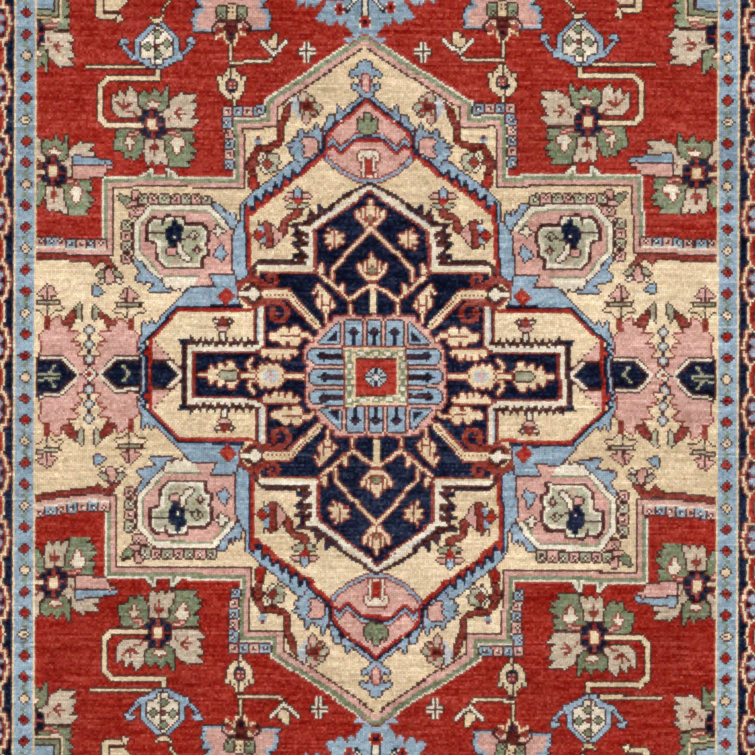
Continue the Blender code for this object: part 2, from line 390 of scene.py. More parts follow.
def cross_star():
    box("brown", 28.2, 158.9, 4.6, 10.4)
    box("brown", 28.2, 159.1, 9, 4.8)
    for side in (-1, 1):
        line("white", [(28.2 + side * 1, 163.6), (28.2 + side * 1, 154.2)], 1)
        line("white", [(32.2, 159.1 + side * 1), (24.3, 159.1 + side * 1)], 1)
    line("brown", [(28.2, 163), (28.2, 155)], 1)
    line("brown", [(31.5, 159.1), (25, 159.1)], 1)


def dice(u, v, yarn):
    """One tile of the dice rows: a small square with a dark ring round one pale knot."""
    box(yarn, u, v, 4.2, 4.2, "brown")
    spot("brown", u, v, 1.6)
    box("white", u, v, 1, 1)


def dice_rows():
    for i, yarn in enumerate(("sky", "pink", "sky", "pink")):
        dice(53.6 + i * 5.2, 131, yarn)
    for i, yarn in enumerate(("sky", "pink", "sky", "pink", "sky")):
        dice(69.4, 125.6 - i * 5.2, yarn)


def pendant():
    shape("sky", [(-1, 190), (18.5, 190), (18.5, 185), (20.5, 182), (23.7, 176.8), (23.3, 175.2),
                  (19.3, 175.6), (17.5, 172.5), (15, 174.7), (13, 176.4), (12.3, 171.8), (10.5, 173.2),
                  (9, 174.3), (8.6, 170.6), (6.2, 168.6), (5.5, 166.5), (9.6, 165.6), (7.6, 163.4),
                  (4, 165.8), (-1, 169.6)], "brick")
    shape("sky", [(34.5, 192), (34.3, 184), (33.6, 181.4), (31.8, 184), (30, 185.4), (29, 184.5),
                  (28.3, 180.8), (26.3, 184), (25.2, 180.6), (23, 184), (19.6, 187), (20, 192)], "brick")
    line("navy", [(9, 179.6), (4, 185.5), (2, 192)], 2.6)
    line("white", [(9, 180), (4.4, 185), (2.6, 192)], 1)
    line("navy", [(0, 192), (0, 176)], 4.2)
    line("white", [(0, 192), (0, 176)], 1.7)
    for u, v in ((12.6, 181), (0.5, 173.8)):
        box("white", u, v, 4.6, 4.6)
        box("red", u, v, 5, 2.2)
        box("red", u, v, 2.2, 5.6)
        spot("red", u, v, 2.6)
        spot("navy", u, v, 1.3)


def edge_leaf():
    shape("sky", [(146, 109), (134, 107.6), (127.3, 107), (126.2, 105.2), (131, 104.8), (134, 102.5),
                  (146, 100)], "brown")
    shape("pink", [(146, 104), (133, 103.7), (129.5, 104.7), (125.7, 103.9), (129.3, 103), (131.2, 99.6),
                   (133, 98.8), (146, 98)], "brown")


palmette_leaves()
palmette_heart()
stem_and_vase()
pink_palmette()
cream_flower()
cross_star()
dice_rows()
pendant()
edge_leaf()


# --- cartoon: the bracket's inside ----------------------------------------------------------------
# Between the bracket and the medallion's head: a light blue band with thorns, pink panels under a
# finial, a budded leaf, and brown-red vines that carry small serrated flowers.
def sawtooth_band():
    """Light blue band from the finial round the lozenge, with navy and red along its inner side."""
    line("sky", [(22.8, 119.2), (23, 112), (25, 109.3), (31, 104.6), (36, 100), (51, 91.5)], 3.4, "brown")
    line("sky", [(-2, 138.8), (0, 138), (10, 130.4), (15.4, 126.4), (20, 121.6), (22.6, 118.4)], 2, "brown")
    shape("sky", [(11.4, 129.6), (13.2, 131), (15.2, 134), (15.4, 129.6), (16.4, 127.6), (15, 125.8)],
          "brown")
    shape("sky", [(16.4, 127.2), (19.8, 128.6), (20.6, 124.8), (22.4, 122), (20, 120.6)], "brown")
    inner = [(-2, 138), (0, 137), (5, 133), (10, 128.8), (15, 125.2), (19.4, 121), (21.8, 117.6),
             (21.8, 111.2), (24.4, 108), (30, 103.6), (34.6, 99.6)]
    line("red", [(u - 0.9, v - 1.2) for u, v in inner], 1.5)
    line("navy", inner, 1.2)


def budded_leaf():
    shape("sky", [(23, 118.8), (25.7, 124.4), (26.6, 120.6), (28, 119.4), (29.1, 122.2), (29.6, 118.8),
                  (31.6, 119.2), (33.4, 122.7), (33.8, 117.5), (38.4, 117.4), (36, 115.3), (39.8, 113.6),
                  (36.6, 112.2), (40.3, 110), (36.6, 108.2), (37.4, 106.2), (45, 100.2), (51, 95.6), (48, 93),
                  (36, 100), (30, 105), (25, 109.3), (23, 112)], "brown")
    shape("pink", [(31.5, 116.8), (26.6, 117.2), (25.2, 115.2), (24.9, 111), (28, 108.4), (32.2, 108.2),
                   (30, 110), (32.4, 111.8), (30.4, 113.2), (33, 114.9)], "brown")
    path = [(22.4, 112), (24.6, 109), (30.4, 104.4), (34.8, 100.4)]
    line("navy", path, 1.2)


def vine_and_flowers():
    line("brick", [(37.6, 133.2), (40.2, 130.6), (40.6, 127), (42.6, 123.8), (42.8, 119), (43.2, 116.2),
                   (45.2, 114.2), (48, 113.2), (55, 112.9)], 2.2, "brown")
    line("brick", [(55, 112.6), (56, 110.4), (58, 107.6), (59.2, 104.8), (58.4, 102.2), (57.2, 100)], 2.6,
         "brown")
    spot("brick", 57.2, 105.6, 2.6, "brown")
    shape("red", [(59, 99.4), (56.4, 99.4), (55.2, 96.4), (55.4, 94.2), (57.2, 92.7), (59.2, 94.6),
                  (59.4, 96.6)], "brown")
    shape("mist", [(34.6, 138.2), (32, 138.2), (32.6, 134), (33, 130), (31.5, 127), (34.6, 127.4),
                   (37.4, 131), (38.2, 133.4)])
    shape("pale", [(32, 139.9), (29.8, 139.2), (28.3, 137.4), (25.5, 136.4), (26.6, 134.7), (24.4, 134.2),
                   (22.6, 132.1), (24.4, 130.3), (26.4, 130.8), (25, 128.5), (28, 128.2), (28.8, 126),
                   (30.2, 124.2), (31.8, 125.4), (32, 128), (33.2, 131), (32.4, 134), (33, 137)], "deep")
    shape("pink", [(32, 139.6), (30, 139), (29.6, 137), (32.6, 136.6)])
    shape("pink", [(31.6, 128), (29, 127.8), (29.4, 125.4), (30.4, 124.8), (31.6, 126)])
    for path in ([(30, 136.8), (28.6, 136), (29.4, 134.8)], [(27.8, 134.6), (26, 134.2)],
                 [(26.6, 131), (28.6, 130.6)], [(26.4, 128.8), (29, 129)], [(31, 130.4), (32, 128.4)]):
        line("brick", path, 1.1)
    box("deep", 30, 132.4, 4, 2.4, "brick")
    spot("sky", 55, 117.4, 2.5)
    spot("brick", 55, 117.6, 1.5)
    shape("white", [(50, 107.8), (50.6, 110.4), (52.2, 109), (53, 107.4), (54.6, 106), (53.2, 104),
                    (52.6, 102), (50.8, 100.4), (49.6, 103)], "brown")
    shape("pale", [(43.4, 105.4), (45.6, 107), (45, 109.4), (47.4, 108.8), (49.4, 110.6), (50, 107.8),
                   (48.4, 106.6), (48.4, 104.2), (49.8, 103), (48.8, 100.4), (47, 102), (45.2, 101.2),
                   (45.8, 103.6)], "brown")
    spot("brick", 50.9, 105.5, 2.4, "brown")


def head_panels():
    shape("pink", [(-1, 135), (0, 134.4), (12.4, 125), (20.4, 117.6), (20.6, 110.4), (19, 106.4), (11, 100.4),
                   (4, 96.6), (-1, 95)])
    zig = [(22.4, 111.4), (17.4, 115.8), (13.8, 111.6), (6.4, 118), (-2, 118)]
    line("red", [(u, v - 2.2) for u, v in zig], 1.8)
    line("navy", [(u, v - 0.8) for u, v in zig], 1.3)
    line("sky", [(u, v + 0.4) for u, v in zig], 1.3)
    line("brick", [(u, v + 1.5) for u, v in zig], 0.9)
    line("sky", [(21, 108.2), (19.6, 105.8), (11.6, 99.8), (4, 96.4), (-1, 95.6)], 1.4, "brick")
    shape("sage", [(-1, 129.8), (0, 129.6), (1.8, 128.4), (2.2, 124.6), (3.3, 125.9), (5, 127.4),
                   (4.7, 121.5), (3, 119.2), (-1, 119)], "brown")
    shape("white", [(-1, 111.4), (3, 111), (5.2, 109.4), (5, 106.6), (3.2, 105.8), (3.6, 101), (2.6, 98),
                    (-1, 97.6)], "brick")
    line("brick", [(2.2, 108.4), (3.6, 107.6)], 1)
    box("red", 0, 102.6, 2.6, 8)
    line("brick", [(1.6, 107.4), (1.6, 98.6)], 0.9)


def finial():
    """Light blue finial with a pink heart, standing in the bracket's tip."""
    shape("sky", [(-1, 156.4), (0, 156.2), (1.2, 154.4), (3.2, 153.4), (3.4, 150.8), (6, 150.4), (8, 148.4),
                  (8.6, 145.4), (7, 147), (5.4, 148.4), (3.6, 147.4), (3.4, 144.6), (4.4, 142.4), (6.8, 144),
                  (6.6, 141.4), (3.4, 139), (2.4, 137.6), (-1, 137)], "brown")
    shape("pink", [(-1, 148.6), (1.4, 148.4), (1.9, 146), (1.6, 141), (0, 139.8), (-1, 139.8)], "brick")


sawtooth_band()
head_panels()
sawtooth_band()
budded_leaf()
vine_and_flowers()
finial()


# --- cartoon: the cartouches ----------------------------------------------------------------------
# In each arm of the bracket, an eight-sided cartouche of pink wool in a white frame, with rows of dice
# tiles along two of its sides and a pale green blossom in it.
def cartouche():
    shape("sky", [(110.8, 42), (106.4, 45.6), (116.9, 48.8), (112.8, 52.2), (115.6, 56.4), (115.8, 59.8),
                  (98, 41.9)], "brown")
    shape("sky", [(77.5, 84.6), (73.2, 84.6), (72.2, 81.6), (70.6, 80.2), (69.6, 82.4), (68.6, 79),
                  (66.4, 80.8), (66, 77), (63.4, 75.4), (66, 71), (69, 74)], "brown")
    bands([(77.4, 84.6), (109.2, 84.6), (116.7, 75.3), (116.7, 60.3), (102.6, 44.5), (68, 44.5), (68, 73.8)],
          [("brown", 0.8), ("white", 2.2), ("sage", 0.9), ("pink", 99)])
    shape("pink", [(67.6, 70), (69, 72.5), (80, 72.5), (80, 48), (67.6, 48)])
    shape("white", [(103.6, 48.8), (84.6, 48.8), (86.4, 46.4), (88, 44), (90, 42.4), (91.6, 44.4),
                    (93.6, 42.4), (95.4, 44.6), (97.4, 42.6), (99.4, 44.8), (101.4, 43.6)], "brown")
    line("sage", [(103, 49.2), (84.6, 49.2)], 1)
    shape("pink", [(85.2, 50), (80.4, 50), (79.4, 46.4), (77.4, 44.4), (88.4, 44.6)])
    line("brown", [(88.6, 44), (77, 44)], 1.1)
    line("brown", [(80.4, 50.4), (69, 50.4)], 1.1)
    line("brown", [(68.2, 69), (68.2, 50)], 1)
    shape("sage", [(124, 89.6), (119.5, 89.4), (117.9, 86.6), (120.4, 84.8), (122.6, 87.1)], "brown")
    shape("pink", [(117.4, 89.4), (116.7, 91), (114.5, 91), (114.2, 89.4), (115.6, 88), (115.8, 86),
                   (117.2, 86)], "brown")
    shape("pink", [(120, 84), (118.6, 85.6), (115.2, 85.6), (115.2, 83.6)], "brown")
    shape("pink", [(117.4, 83.2), (110.1, 83.2), (113.5, 79.1), (118.5, 79.1), (117.6, 81.2)], "brown")
    spot("brown", 115.2, 81.4, 1.5)
    box("white", 115.2, 81.4, 1, 1)
    for i in range(7):
        dice(112.2 - i * 5.35, 87.4, ("pale", "pink")[i % 2])
    for i in range(4):
        dice(119.7, 75.4 - i * 5.4, ("pale", "pink")[i % 2])
    for i in range(7):
        dice(132.6 + i * 5.2, 66.2, ("pink", "sky")[i % 2])
    line("white", [(130.4, 63.9), (170, 63.9)], 1)


def blossom():
    bands([(107.6, 78.8), (102.6, 78.2), (100.4, 79.6), (91, 79.2), (90.8, 75.8), (82.6, 75.8), (79, 71.9),
           (79, 67.1), (80.4, 65.3), (79.3, 63), (79.5, 59.4), (82, 58.2), (82.2, 52.8), (101.6, 52.6),
           (106, 57.5), (106.2, 65), (111, 66.2), (111, 74.8)], [("brown", 1.6), ("white", 1.2),
                                                                 ("pale", 99)])
    line("brown", [(110, 70.4), (100, 70.4)], 1)
    line("brown", [(101.6, 77.4), (102.4, 75)], 1.2)
    shape("navy", [(96.5, 77), (95.4, 73.4), (93.2, 73.8), (92.6, 71.4), (94.2, 70), (93.2, 67.2), (94.8, 65),
                   (96.6, 64.2), (98.8, 65.6), (100.6, 68), (99, 70.4), (100.4, 73.4), (97.8, 73)], "navy")
    box("white", 96.5, 68.3, 1, 1)
    line("brown", [(93, 66.8), (90, 68.6), (85.6, 68.8)], 1)
    spot("brown", 87, 69.4, 3)
    spot("pale", 87, 69.4, 1.8)
    box("brown", 87, 69.4, 1, 2)
    spot("brown", 85.6, 62.2, 2.4)
    box("pink", 85.6, 62.2, 1.6, 1.6)
    shape("pink", [(99.6, 60), (96.4, 60), (96.2, 62.6), (99.8, 62.6)], "brown")
    line("white", [(94.4, 64.6), (93.4, 61.2), (91.8, 59.2), (89.6, 58.2)], 2.2, "brown")
    line("pink", [(96.8, 55.8), (93.6, 58)], 1)
    shape("white", [(77.8, 72.3), (76.4, 72.3), (75.8, 74), (74.4, 74), (73.8, 72.3), (72.4, 72.3),
                    (72.4, 70.9), (74.2, 70.9), (74.6, 69.4), (75.8, 69.4), (76.4, 70.9), (77.8, 70.9)],
          "brown")
    shape("sky", [(77.4, 60.2), (75.6, 62.4), (73.2, 65), (73, 62), (71, 61.2), (71, 60), (73, 59),
                  (73.6, 56.4), (75.4, 58.6)], "brown")


def bracket_foot():
    shape("brick", [(166, 60.2), (129.6, 60.2), (125.4, 54.4), (129, 55.8), (132.2, 58.5), (135.6, 55.3),
                    (139, 58.5), (166, 58.5)], "brown")
    for side in (1, -1):
        line("pale", [(128.5, 53.4), (128.5 + side * 5, 50.8)], 2.2, "brown")
        line("white", [(128.5, 50.4), (128.5 + side * 4.4, 47.6)], 1.6, "brown")
    shape("pink", [(128.3, 54), (126.2, 50.7), (128, 47.5), (130.4, 46.2), (130.9, 49), (130, 52)], "brown")
    shape("sky", [(137, 46.6), (134.6, 44.6), (132.4, 42.4), (136.6, 40.6)], "brown")


cartouche()
blossom()
bracket_foot()


# --- cartoon: the saw-toothed band ----------------------------------------------------------------
# A light blue band with a navy saw edge and a red hem closes in the ivory ground round the medallion.
# Small flowers and sprigs are scattered on that ground, beside the medallion's shoulders.
def saw_toothed_band():
    saw = [(32.6, 101.8), (35.4, 98.6), (37.9, 101.7), (39.5, 95.8), (42.2, 99.3), (44.2, 93.1), (46.5, 96),
           (48.5, 90.3), (51.5, 92.6), (53, 86.9), (56, 89.6), (57.2, 82.8), (60.8, 85.6)]
    shape("red", [(22.6, 111), (22.7, 108.6), (34.7, 98), (40.8, 93), (47.6, 88.6), (54, 83.2), (60.6, 77.8)]
          + saw[::-1] + [(27, 106.8)])
    shape("sky", [(36, 106.6), (47.7, 98.6), (57.2, 91.2), (61.5, 87)] + saw[::-1], "brown")
    line("navy", [(22.6, 111), (27, 106.8)] + saw, 1.2)
    shape("sky", [(63.4, 85.4), (61.4, 87.2), (61.4, 50), (62.2, 48.6), (66, 47.6), (68.4, 49), (68.4, 69),
                  (65.4, 73.6), (63.4, 75.8)], "brown")
    line("navy", [(61, 85.6), (61, 50), (63, 48.4), (67.4, 47.4)], 1.1)
    line("red", [(60, 85), (60, 49.4)], 1.1)
    shape("sky", [(68, 49.6), (79.6, 49.6), (78.4, 46.6), (76.6, 43.6), (89.6, 43.6), (91.3, 41.9),
                  (98.1, 35.3), (108.1, 25.7), (109.9, 29), (110.9, 24.6), (113.9, 28), (114, 20.4),
                  (116.8, 18.4), (116.6, 15.3), (113.4, 15.2), (116.9, 11), (116.6, 9.8), (114.4, 9.6),
                  (114.4, -1), (112.2, -1), (112.2, 10.8), (115, 11.2), (111.6, 14.7), (112, 16),
                  (114.4, 16.3), (110.6, 19.6), (95.6, 35), (64.6, 35), (66.8, 38.4), (67.4, 44)], "brown")
    line("red", [(60, 33.4), (95.2, 33.4), (110.4, 18), (110.4, -1)], 2)
    shape("red", [(110.4, 16.4), (111.4, 14.4), (114.4, 11.2), (111.2, 10.6), (109.6, 10.6)])
    line("navy", [(64.6, 35), (95.7, 34.8), (110.8, 19.5), (114.3, 16.3), (111.7, 15.9), (111.7, 14.6),
                  (114.9, 11.2), (112, 10.7), (112, -1)], 1.2)
    line("mist", [(108.9, 18), (108.9, -1)], 0.9)
    spot("red", 72.4, 39.9, 3.7, "brick")
    box("red", 72.4, 39.9, 4.6, 4.6)
    spot("rose", 72.4, 39.9, 1.6)


def ground_flowers():
    """Small flowers scattered on the ivory ground."""
    axis = 35.4
    both(shape, "pink", axis, [(36.6, 89.6), (39.8, 90.2), (42.2, 88.4), (39.4, 88), (37.4, 87.6)], "brown")
    both(shape, "pale", axis, [(37.6, 85.6), (41, 84.4), (39.4, 83.6), (36.6, 82.2), (35.4, 82),
                               (35.4, 83.6)], "brown")
    shape("sky", [(35.4, 93.4), (33.9, 91.6), (33.9, 88.4), (36.9, 88.4), (36.9, 91.6)], "brown")
    spot("red", axis, 86.4, 2.7)
    line("brick", [(35.4, 81.6), (35.2, 80), (38.1, 79.2), (40.2, 78.5), (42, 76.6), (42.6, 74.4),
                   (42.6, 72.4), (44.6, 70.2)], 2.3, "brown")
    shape("pink", [(48.6, 75.6), (44.5, 71.6), (44.2, 69.4), (47, 65.6), (48.6, 64.4)], "brown")
    shape("brick", [(48.8, 76.4), (51.6, 76.6), (51.8, 64), (48.8, 63.9)], "brown")
    shape("sky", [(52.2, 75.8), (54.4, 75), (54.8, 70), (54.4, 66), (52.2, 65.2)])
    line("brown", [(52.4, 76), (54.6, 75.2), (54.8, 77.2)], 1)
    line("brown", [(52.4, 65), (54.6, 65.8), (54.8, 63)], 1)
    spot("red", 55.4, 69.8, 2.7, "brown")
    line("white", [(73.9, 22.2), (73.9, 17.8)], 1.2, "brown")
    shape("pink", [(78, 25.4), (69.8, 25.4), (72.4, 22.8), (75.4, 22.8)], "brown")
    for side in (1, -1):
        spot("brown", 73.9 + side * 3.3, 27.6, 2.4)
        box("white", 73.9 + side * 3.3, 27.6, 1.4, 1.6)
    shape("brick", [(75.6, 25.8), (72.2, 25.8), (71.9, 28.6), (73.9, 30.4), (75.9, 28.6)])


saw_toothed_band()
ground_flowers()


# --- cartoon: the side flowers and pendants -------------------------------------------------------
# On each side of the medallion a pink saw-edged flower holds a navy pendant, and a second, smaller
# pendant hangs inside the band, at the tip of the medallion's arm.
def side_flower():
    middle = 140
    both(shape, "pink", middle, [(140, -1), (140, 5), (136.4, 6.6), (137.6, 9.6), (133, 9.8), (137, 14.4),
         (132.2, 14.8), (135.8, 17.2), (130.8, 17), (135.6, 21.6), (128.8, 21.6), (131, 25), (126.4, 26.2),
         (125.8, 30.6), (120.4, 25.7), (118.3, 22.8), (115.6, 19.6), (116.9, 17), (116.9, 13), (116.2, 10.6),
         (116.2, -1)], "brick")
    both(shape, "brick", middle, [(134.4, 33), (129.9, 30.2), (127, 25.8), (130.8, 25.4), (133.6, 29.4)],
         "brown")
    both(shape, "pale", middle, [(136.8, 36), (134.4, 33.6), (135, 29), (136.8, 28)], "brown")
    line("brown", [(140, 5), (140, 26)], 1.2)
    for v in (9, 16, 23):
        spot("sky", 140, v, 2.6, "brown")
        spot("ivory", 140, v, 1.1)
    both(shape, "navy", middle, [(135, 1.9), (126.8, 10.4), (116, 10.4), (114.6, 9.2), (114.6, -1),
                                 (135, -1)], "brown")
    both(line, "white", middle, [(134.4, 1.9), (126.5, 9.9), (116.6, 9.9)], 1.1)
    both(line, "brown", middle, [(132, 2.4), (125.6, 8.9), (115.6, 8.9)], 0.9)
    both(line, "pale", middle, [(123.2, 5.8), (120.5, 1.9)], 1.3)
    both(line, "pale", middle, [(125.8, 1.7), (115.4, 1.7)], 1.2)
    spot("white", 140, 1.6, 3.4, "brown")
    spot("red", 140, 1.6, 1.7)


def trefoil_lamp(axis):
    both(shape, "pink", axis, [(axis, 44.8), (axis + 2.2, 43.3), (axis + 2.6, 42), (axis + 5, 41),
                               (axis + 4.8, 40.2), (axis + 2.2, 40.2), (axis + 1, 38.2), (axis, 38.2)],
         "brown")
    both(line, "brown", axis, [(axis, 37.8), (axis + 6.7, 37.8), (axis + 4.8, 35.4)], 1)
    both(shape, "pale", axis, [(axis, 37), (axis + 4.4, 37), (axis + 4.4, 35.6), (axis, 35.6)])
    both(shape, "ivory", axis, [(axis, 34.8), (axis + 6.2, 34.8), (axis + 7.4, 33.2), (axis + 4, 32.8),
                                (axis + 1, 30.2), (axis, 30.2)], "brown")
    shape("pale", [(axis + 1.8, 34.4), (axis - 1.8, 34.4), (axis, 32.4)])
    box("brick", axis, 26.6, 2.4, 7)


def inner_pendant():
    shape("pink", [(108.6, 18), (95.4, 5.2), (94.8, -1), (108.6, -1)])
    for i in range(9):
        box("brown", 107.8 - i * 1.5, 17.4 - i * 1.5, 1, 1)
    line("brown", [(108.6, 8.9), (100, 8.9), (94.8, 3.6), (94.8, -1)], 1)
    line("white", [(108.6, 7.7), (101, 7.7), (95.6, 2.2), (95.6, -1)], 1.2)
    shape("navy", [(108.6, 6.9), (102.2, 6.9), (97.2, 1.9), (97.2, -1), (108.6, -1)], "brown")


side_flower()
trefoil_lamp(119.6)
trefoil_lamp(160.4)
inner_pendant()


# --- cartoon: the medallion -----------------------------------------------------------------------
# A navy medallion in a white frame with a dark saw edge, with two short arms along the rug's width.
# Flame palmettes, lanterns, scrolls and combs fill it, in ivory wool edged with brick red.
def medallion_ground():
    zigzag = [(38.6, 75.2), (31.6, 69.4), (38.8, 70.3), (30.9, 64.8), (38.5, 65.5), (31.6, 59), (38.4, 59.5),
              (33, 56.2)]
    shape("white", [(29, 76)] + zigzag + [(29, 54)])
    shape("brown", [(16.7, 85.8), (22, 81.6), (25.7, 84.8), (26.2, 79.2), (30.2, 82.2), (30.6, 76),
                    (38.8, 75.6), (37, 74), (29, 74), (18, 82)])
    line("brown", [(-1, 95.2), (0, 95), (4, 93.2), (12.6, 88.2), (16.7, 85.8), (22, 81.8)], 1.9)
    line("navy", [(8, 91.6), (14, 88.2), (21.6, 82.6)], 0.9)
    line("navy", [(22.4, 81.8), (25.2, 84.6), (26, 79.4), (29.8, 82.4), (30.6, 76.2), (38, 75.8)], 0.9)
    line("brown", zigzag, 2.2)
    line("navy", [(38.8, 75.6), (36, 73)], 1.2)
    for tip in ((38.4, 70.6), (38.2, 65.8), (38, 59.8)):
        line("navy", [(tip[0], tip[1]), (tip[0] - 3, tip[1] + 0.6)], 1.2)
        line("navy", [(tip[0], tip[1] - 0.4), (tip[0] - 2, tip[1] - 2)], 1)
    line("brown", [(33, 56.3), (55.8, 56.3), (58.4, 54), (58.6, 49)], 2.2)
    line("navy", [(38, 57.1), (55.6, 57.1)], 0.9)
    line("mist", [(31, 54.7), (56, 54.7)], 1)
    line("white", [(28, 53.6), (56, 53.6)], 2)
    shape("navy", [(-1, 91.6), (0.6, 91), (9, 84.4), (23.5, 74.6), (28, 71), (28, 53.8), (26.8, 51.6),
                   (55.6, 51.6), (57.4, 49), (60, 44), (60, 38), (53.2, 34), (53.2, 14), (88.8, 12.6),
                   (88.8, -1), (-1, -1)])
    line("mist", [(-1, 94), (1.7, 92.8), (28.2, 74.8)], 1)
    line("white", [(-1, 93), (1.5, 91.7), (27.8, 73.6), (29.7, 71.6), (29.7, 55), (27, 53.2)], 2.3)
    line("brick", [(-1, 91.4), (0.6, 91), (9, 84.6), (23.5, 75), (28, 71.4), (28, 54.6), (26, 51.6),
                   (55.6, 51.6)], 1.1)


def medallion_side():
    """The white frame down to the arm, and the arm with its saw edge."""
    line("brick", [(58, 36), (58, 17), (62, 17)], 2)
    line("brown", [(57.4, 35), (57.4, 17.4)], 1)
    line("mist", [(56.4, 34), (56.4, 17)], 1)
    line("white", [(55.2, 34.4), (55.2, 17), (58, 14.6), (91, 14.4), (91, -1)], 2.4)
    line("brick", [(53.2, 36), (53.2, 16), (56.4, 12.9), (89, 12.9), (89, -1)], 1.1)
    line("brown", [(57.4, 17), (60, 17)], 2.2)
    line("brown", [(90, 17.2), (93.4, 17.2), (93.4, -1)], 2.2)
    line("mist", [(92, 15.4), (92, -1)], 0.9)
    line("navy", [(94.8, 17.4), (94.8, -1)], 0.9)
    saw = [(59.4 + i * 1.75, 18.2 if i % 2 else 15.9) for i in range(18)]
    line("navy", [(u, v + 0.9) for u, v in saw], 1.1)
    line("brown", saw, 1.7)
    shape("navy", [(89.6, 18), (90.6, 20.8), (91.8, 18.8), (97.9, 18.9), (96.2, 17.2), (95, 15.4),
                   (92, 17.6)])


def jewel_and_scrolls():
    shape("brick", [(67.4, 46.4), (62, 49.8), (56.5, 49), (53.5, 44), (41.4, 43.6), (27.6, 27.4), (29.6, 24),
                    (43.4, 38.4), (53.6, 38.2), (57, 34.2), (60.2, 34.4), (66.4, 39.4)])
    shape("brown", [(66, 43.2), (62.8, 45), (59.6, 46.8), (55.2, 43.6), (53.6, 41), (55.4, 38), (59.6, 35.6),
                    (62.6, 38.4), (66, 39.8)])
    line("white", [(65.6, 41.1), (60, 41.1)], 1.9)
    shape("white", [(59.9, 44.2), (57.9, 43.4), (55.6, 41), (57.6, 38.6), (59.3, 37.7), (61.4, 39.6),
                    (61.4, 42.4)])
    line("ivory", [(65, 43), (61.8, 45.8)], 0.9)
    line("ivory", [(54, 41), (41.9, 41), (27.6, 25.4)], 3.1)
    for i in range(6):
        box("brick", 53 - i * 2, 41, 1, 1)
    for i in range(13):
        box("brick", 41 - i * 1.02, 40.2 - i * 1.12, 1, 1)
    line("brick", [(58, 35), (55.6, 36.2), (50, 36.9), (45.4, 36.4), (42.8, 34), (42.2, 31), (43.2, 28.8),
                   (46, 28), (49.4, 28.9), (50.5, 31.4), (49.8, 33.8)], 2.5)
    line("brick", [(48.6, 33.4), (48.2, 31.2), (46.2, 31.6)], 1.1)
    line("brick", [(57.6, 49.6), (56.4, 47.6), (54, 45.8), (51.4, 45), (48.8, 45.4), (47.5, 47.2),
                   (48.2, 49.4), (50.4, 50.2), (51.9, 48.8)], 2.3)
    line("brick", [(51.4, 47.6), (50.4, 47.8)], 1)


def flame_palmette(foot):
    shape("ivory", [(-1, foot + 14.2), (0, foot + 14), (1.2, foot + 12), (1.8, foot + 8.4),
                    (2.8, foot + 8.6), (3.4, foot + 10.4), (3.9, foot + 7.6), (4.4, foot + 6),
                    (5.6, foot + 7.4), (6.4, foot + 9), (6.9, foot + 5.4), (5.2, foot + 3.4),
                    (2.6, foot + 0.8), (-1, foot)], "brick")
    line("brick", [(2.6, foot + 8.6), (2.4, foot + 3), (0, foot + 2.4)], 0.9)
    line("brick", [(4.6, foot + 6.4), (3.6, foot + 3.6)], 0.9)
    spot("sage", 0.2, foot + 4.6, 1.7, "brick")


def branches():
    line("ivory", [(0, 73.6), (1.7, 72), (9.9, 64), (16.7, 55.8), (19.6, 52.4), (19.8, 47.4), (21, 46.2)],
         1.3, "brick")
    line("ivory", [(27, 52.4), (25.6, 49.8), (21.3, 46.6), (11.7, 38), (11.7, 31.4)], 1.4, "brick")
    line("ivory", [(11.5, 38), (6.3, 41.9), (0, 46)], 1.3, "brick")
    line("ivory", [(0, 46), (0, 30.6)], 1.2)
    shape("ivory", [(24.2, 56.8), (26, 55), (27, 52), (25, 50.6), (23.8, 52.6)], "brick")
    shape("ivory", [(14.2, 46), (16.4, 43.6), (17, 42), (14.6, 40.6), (13.6, 42)], "brick")
    turns = [math.radians(22.5 * i) for i in range(16)]
    shape("ivory", [(18.6 + (5, 2.6)[i % 2] * math.sin(turn + math.radians(22.5)),
                     68 + (5, 2.6)[i % 2] * math.cos(turn + math.radians(22.5))) for i,
                    turn in enumerate(turns)], "brick")
    line("brick", [(18.6, 65.8), (18.6, 70.2)], 0.9)
    line("brick", [(16.4, 68), (20.8, 68)], 0.9)


def lantern():
    shape("ivory", [(22, 32.4), (19.4, 35.2), (20.2, 38), (22.4, 41.4), (25.6, 44.2), (27.6, 45.6),
                    (29, 43.6), (30.3, 40.6), (28.8, 41.4), (27.4, 43.2), (26.6, 40.6), (28.4, 37),
                    (27.6, 35), (25.2, 32.4)], "brick")
    line("brick", [(21.5, 38.4), (21.5, 34)], 1)
    line("brick", [(25.5, 40.6), (25.5, 34)], 1)
    line("brick", [(21.5, 35.5), (25.5, 35.5)], 1)
    line("ivory", [(23.5, 31.6), (23.5, 28)], 1.1, "brick")


